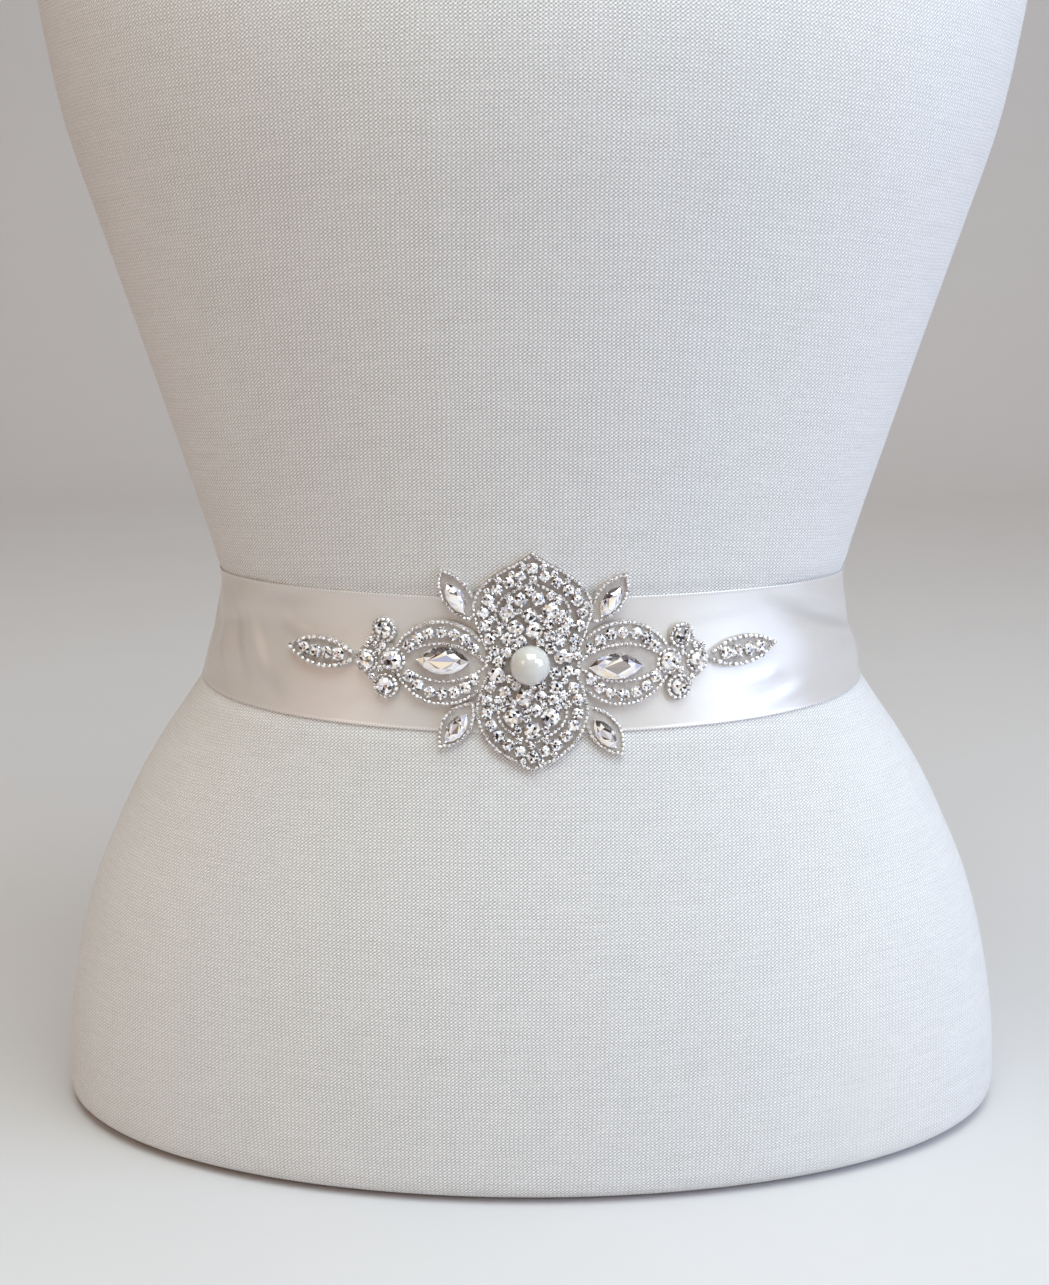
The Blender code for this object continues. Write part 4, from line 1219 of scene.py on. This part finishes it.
oval_frame = seats([OVAL_STONE[:2]], MOTIF_WALL + CHATON_SEAT, [math.radians(OVAL_STONE.tilt)])
oval_points, oval_faces = chaton_cut
oval_cut = ([(x * OVAL_STONE.length / OVAL_STONE.width, y, z) for x, y, z in oval_points], oval_faces)
oval_size = 0.5 * OVAL_STONE.width
oval_mesh = stamp("oval_crystal", oval_cut, oval_frame, oval_size, CRYSTAL_PAINTED_FACETS, OVAL_SEED)
sewn_on.append(add_piece("oval_crystal", oval_mesh, crystal))
oval_rim = circle(Disc(0, 0, 1), 12) * (OVAL_STONE.length / OVAL_STONE.width, 1)
oval_metal = setting(oval_rim, ROUND_FOOT, ROUND_CLAWS, OVAL_CLAW)
add_settings("oval_setting", oval_metal, oval_frame, oval_size)

# Petal, leaf and cluster crystals: larger cut stones, pointed ovals in the petals and leaves and rounds in
# the side clusters. Each sits in a silver setting whose claws bend in over its edge.

PETAL_STONES = {"left": Leaf(-32.4, 0.8, 20.0, 10.2, 0), "right": Leaf(30.2, -1.2, 20.2, 9.8, 0)}
PETAL_STONE_HEIGHT = 3.1
PETAL_KEEL = 5.0
PETAL_SEEDS = {"left": 4, "right": 5}
LEAF_STONE = (13.2, 6.6)
LEAF_STONE_HEIGHT = 2.5
LEAF_KEEL = 2.6
LEAF_STONE_DROP = 1.2
LEAF_SEED = 4
STONE_SEAT = 0.6
STONE_FOOT = -0.6
STONE_CLAW = 1.2
STONE_CLAWS = (2, 4, 7, 10, 12, 15)
CLUSTER_STONES = (3.1, 3.1, 3.1, 3.1, 3.4, 3.5, 3.2, 3.2)
CLUSTER_SEAT = 0.9
CLUSTER_TURNS = (0.1, 2.9)
CLUSTER_SEED = 61

# Facets of a large foil-backed crystal: their tones are painted reflections, from the bright ones below to
# the clear grey ones above
LARGE_PAINTED_FACETS = (
    (1.0, 1.0, 1.0, 0.02),
    (1.0, 1.0, 1.0, 0.02),
    (1.0, 1.0, 1.0, 0.05),
    (1.0, 0.92, 0.76, 0.05),
    (0.98, 0.98, 1.0, 0.15),
    (0.90, 0.89, 0.92, 0.3),
    (0.66, 0.70, 0.88, 0.3),
    (0.78, 0.76, 0.78, 0.4),
    (0.64, 0.61, 0.61, 0.5),
    (0.46, 0.41, 0.38, 0.6),
    (0.20, 0.18, 0.18, 0.9),
)
LARGE_SCATTER = 0.75
# Facets that face this way get the darker painted tones, and those that face away the brighter ones
LARGE_SHADE_LEAN = (0.1, 0, 0.6)


# Rings of a pointed crystal from below its girdle: shares of its outline and height, and a turn in steps
CutRing = namedtuple("CutRing", "spread rise shift")
FANCY_RINGS = (
    CutRing(0.93, -0.1, 0.0),
    CutRing(1.0, 0.08, 0.0),
    CutRing(0.80, 0.55, 0.5),
    CutRing(0.56, 0.92, 0.0),
)


def fancy_cut(length, width, height, count, keel):
    """A pointed-oval crown cut in triangles, its low keel along the middle."""
    dense = pointed_oval(length, width, 8 * count)
    n = 2 * count
    points = []
    for ring in FANCY_RINGS:
        corners = dense[(8 * (np.arange(n) + ring.shift)).astype(int)]
        points += [(x * ring.spread, y * ring.spread, height * ring.rise) for x, y in corners]
    points += [(-keel, 0, height), (keel, 0, height)]
    faces = []
    for i in range(n):
        j = (i + 1) % n
        faces.append((i, n + i, n + j, j))
        faces += [(n + i, 2 * n + i, n + j), (n + j, 2 * n + i, 2 * n + j)]
        faces += [(2 * n + i, 3 * n + i, 3 * n + j), (2 * n + i, 3 * n + j, 2 * n + j)]
        a, b = 3 * n + i, 3 * n + j
        end_a, end_b = (4 * n + int(points[k][0] > 1e-6) for k in (a, b))
        faces.append((a, end_a, b))
        if end_a != end_b:
            faces.append((b, end_a, end_b))
    return points, faces


def large_crystals(name, leaves, cut, size, nodes, seed):
    """A group of pointed crystals of one cut, with their silver settings."""
    places = [(leaf.along, leaf.up) for leaf in leaves]
    frames = seats(places, MOTIF_WALL + STONE_SEAT, [math.radians(leaf.tilt) for leaf in leaves])
    mesh = stamp(f"{name}_crystals", cut, frames, 1.0, LARGE_PAINTED_FACETS, seed, LARGE_SCATTER, LARGE_SHADE_LEAN)
    piece = add_piece(f"{name}_crystals", mesh, crystal)
    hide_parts(*nodes)
    sewn_on.append(piece)
    metal = setting(pointed_oval(*size, 8)[::-1], STONE_FOOT, STONE_CLAWS, STONE_CLAW)
    add_settings(f"{name}_settings", metal, frames, 1.0)


for place, leaf in PETAL_STONES.items():
    size = (leaf.length, leaf.width)
    cut = fancy_cut(*size, PETAL_STONE_HEIGHT, 6, PETAL_KEEL)
    large_crystals(f"petal_{place}", [leaf], cut, size, [f"petal_stone_{place}"], PETAL_SEEDS[place])
leaf_stones = [leaf._replace(up=leaf.up - LEAF_STONE_DROP) for leaf in SLANTED_LEAVES.values()]
leaf_nodes = [f"leaf_stone_{place}" for place in SLANTED_LEAVES]
leaf_cut = fancy_cut(*LEAF_STONE, LEAF_STONE_HEIGHT, 5, LEAF_KEEL)
large_crystals("leaf", leaf_stones, leaf_cut, LEAF_STONE, leaf_nodes, LEAF_SEED)

cluster_places = [(disc.along, disc.up) for disc in CLUSTER_DISCS.values()]
cluster_turns = np.linspace(*CLUSTER_TURNS, len(cluster_places))
cluster_frames = seats(cluster_places, MOTIF_WALL + CLUSTER_SEAT, cluster_turns)
cut = round_cut(0.5, 0.55)
cluster_mesh = stamp("cluster_crystals", cut, cluster_frames, CLUSTER_STONES, CRYSTAL_PAINTED_FACETS, CLUSTER_SEED)
cluster_piece = add_piece("cluster_crystals", cluster_mesh, crystal)
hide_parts(*[f"cluster_stone_{place}" for place in CLUSTER_DISCS])
sewn_on.append(cluster_piece)
add_settings("cluster_settings", round_setting, cluster_frames, CLUSTER_STONES)

# Pearl: one round ivory glass pearl, drilled through and sewn down at the middle of the motif. Its coat
# is built up in thin layers, so its gloss is deep and soft.

PEARL_SEAT = 2.1
PEARL_RINGS = 40
PEARL_SIDES = 64
PEARL_IVORY = (0.74, 0.745, 0.70)
PEARL_ROSE = (0.70, 0.69, 0.66)

pearl_seat = seats([PEARL_DISC[:2]], MOTIF_WALL + PEARL_SEAT, [0])
origin, first, second, out = (axis[0] for axis in pearl_seat)
pearl_turns = 2 * np.pi * np.arange(PEARL_SIDES) / PEARL_SIDES
around = np.outer(np.cos(pearl_turns), first) + np.outer(np.sin(pearl_turns), second)
rings = []
for angle in np.linspace(-0.499 * math.pi, 0.499 * math.pi, PEARL_RINGS):
    rings.append(origin + PEARL_DISC.radius * (math.cos(angle) * around + math.sin(angle) * out))
pearl_finish = Finish(
    "ivory pearl",
    {"Roughness": 0.25, "Coat Weight": 1.0, "Coat IOR": 1.7, "Coat Roughness": 0.07},
)
swirl = pearl_finish.node("ShaderNodeTexNoise", {}, {"Scale": 160.0, "Detail": 2.0, "Distortion": 1.0})
pearl_finish.feed("Base Color", pearl_finish.mix(swirl, PEARL_IVORY, PEARL_ROSE))
pearl = add_piece("pearl", grid_mesh("pearl", np.stack(rings), True), pearl_finish)
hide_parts("centre_pearl")
sewn_on.append(pearl)

# Closing stitches: white cotton thread. The ribbon's outer end is turned under and held by a row of small
# slanted stitches, with one more at each of its corners.

STITCH_LENGTH = 2.0
STITCH_RADIUS = 0.2
STITCH_PITCH = 3.4
STITCH_SLANT = 62.0
THREAD_WHITE = (0.86, 0.86, 0.85)
THREAD_SHADE = (0.66, 0.655, 0.64)

stitch_ups = np.arange(-0.5 * RIBBON_WIDTH + 2.5, 0.5 * RIBBON_WIDTH - 2.4, STITCH_PITCH)
stitch_places = [(reach - END_HEM + 0.9, up) for up in stitch_ups]
stitch_places += [(reach - 1.2, up) for up in (stitch_ups[0], stitch_ups[-1])]
stitch_alongs, stitch_heights = np.array(stitch_places).T
stitch_rise = ribbon_thickness(stitch_alongs, stitch_heights, reach) + 0.3 * STITCH_RADIUS
stitch_origin = ribbon_point(stitch_alongs, stitch_heights, stitch_rise)
stitch_first = unit(ribbon_point(stitch_alongs + 0.5, stitch_heights, stitch_rise) - stitch_origin)
stitch_second = ribbon_point(stitch_alongs, stitch_heights + 0.5, stitch_rise) - stitch_origin
stitch_out = unit(np.cross(stitch_first, stitch_second))
slant = math.radians(STITCH_SLANT)
stitch_first = stitch_first * math.cos(slant) + np.cross(stitch_out, stitch_first) * math.sin(slant)
stitch_frames = (stitch_origin, stitch_first, np.cross(stitch_out, stitch_first), stitch_out)
thread = Finish("white cotton thread", {"Roughness": 0.6, "Sheen Weight": 0.2})
twist = thread.node("ShaderNodeTexNoise", {}, {"Scale": 2500.0, "Detail": 2.0})
thread.feed("Base Color", thread.mix(twist, THREAD_WHITE, THREAD_SHADE))
thread.bump(twist, 0.00008, 0.6)
stitch_form = bead_form(STITCH_LENGTH, STITCH_RADIUS, 0.3 * STITCH_RADIUS, 6)
stitch_mesh = stamp("closing_stitches", stitch_form, stitch_frames, 1.0, CLAW_SILVER, 1)
stitch_mesh.shade_smooth()
stitches = add_piece("closing_stitches", stitch_mesh, thread)

# Floor and backdrop: one sheet of pale matt paper. It lies flat under the form and sweeps up behind it in
# one soft bend.

FLOOR_GREY = (0.70, 0.69, 0.70)
FLOOR_FRONT = -1800.0
FLOOR_BACK = 1400.0
FLOOR_HALF_WIDTH = 3000.0
BACKDROP_BEND = 500.0
BACKDROP_TOP = 3000.0

bend = np.linspace(0.1, 0.5 * np.pi, 12)
flat_y = np.linspace(FLOOR_FRONT, FLOOR_BACK, 12)
sweep_y = np.concatenate([flat_y, FLOOR_BACK + BACKDROP_BEND * np.sin(bend), [FLOOR_BACK + BACKDROP_BEND]])
sweep_z = np.concatenate([flat_y * 0, BACKDROP_BEND * (1 - np.cos(bend)), [BACKDROP_TOP]])
sweep_x = np.linspace(-FLOOR_HALF_WIDTH, FLOOR_HALF_WIDTH, 7)
grid_y, grid_x = np.meshgrid(sweep_y, sweep_x, indexing="ij")
grid_z = np.broadcast_to(sweep_z[:, None], grid_x.shape)
floor_mesh = grid_mesh("floor", np.stack([grid_x, grid_y, grid_z], axis=-1))
paper = Finish("pale backdrop paper", {"Roughness": 0.8})
grain = paper.node("ShaderNodeTexNoise", {}, {"Scale": 60.0, "Detail": 3.0})
paper.feed("Base Color", paper.mix(grain, FLOOR_GREY, tuple(0.97 * c for c in FLOOR_GREY)))
floor_mesh.materials.append(paper.material)
floor = bpy.data.objects.new("floor", floor_mesh)
bpy.context.scene.collection.objects.link(floor)

# Light and camera: a broad soft light from above, a cool key from the right and a weak warm fill from the
# left, in an even warm room. The windows show only in what is glossy. Here sizes are in metres.

Lamp = namedtuple("Lamp", "name place size watts colour only_gloss")
LAMPS = (
    Lamp("key", (1.45, -0.70, 0.75), (0.9, 0.9), 13.8, (0.57, 0.72, 1.0), False),
    Lamp("top", (0.15, -0.55, 1.85), (1.4, 1.4), 31.0, (0.87, 1.0, 1.0), False),
    Lamp("fill", (-1.3, -0.9, 0.7), (1.0, 1.0), 1.5, (1.0, 0.5, 0.3), False),
    Lamp("right window", (1.05, -1.0, 1.15), (0.55, 0.55), 9.0, (0.92, 0.97, 1.0), True),
    Lamp("low right window", (1.05, -1.0, 0.2), (0.6, 0.6), 0.6, (0.92, 0.97, 1.0), True),
    Lamp("left window", (-1.0, -1.0, 0.9), (0.3, 0.5), 1.5, (1.0, 0.95, 0.88), True),
)
LAMPS_FACE = (0, 0, 0.25)
ROOM_COLOUR = (1.0, 0.72, 0.53)
ROOM_STRENGTH = 0.30
CAMERA_PLACE = (-0.0029, -0.820, 0.403)
CAMERA_DIP = 14.2
CAMERA_LENS = 57.77
CAMERA_SENSOR = 36.0

for lamp in LAMPS:
    data = bpy.data.lights.new(lamp.name, "AREA")
    data.shape = "RECTANGLE"
    data.size, data.size_y = lamp.size
    data.energy = lamp.watts
    data.color = lamp.colour
    light = bpy.data.objects.new(lamp.name, data)
    light.location = lamp.place
    light.rotation_euler = (Vector(LAMPS_FACE) - light.location).to_track_quat("-Z", "Y").to_euler()
    light.visible_diffuse = not lamp.only_gloss
    bpy.context.scene.collection.objects.link(light)

room = bpy.data.worlds.new("warm room")
room.use_nodes = True
room.node_tree.nodes["Background"].inputs["Color"].default_value = (*ROOM_COLOUR, 1.0)
room.node_tree.nodes["Background"].inputs["Strength"].default_value = ROOM_STRENGTH
bpy.context.scene.world = room
bpy.context.scene.view_settings.view_transform = "Standard"

lens = bpy.data.cameras.new("camera")
lens.lens = CAMERA_LENS
lens.sensor_width = CAMERA_SENSOR
lens.clip_start = 0.05
lens.clip_end = 20.0
camera = bpy.data.objects.new("camera", lens)
camera.location = CAMERA_PLACE
camera.rotation_euler = (math.radians(90 - CAMERA_DIP), 0, 0)
bpy.context.scene.collection.objects.link(camera)
bpy.context.scene.camera = camera
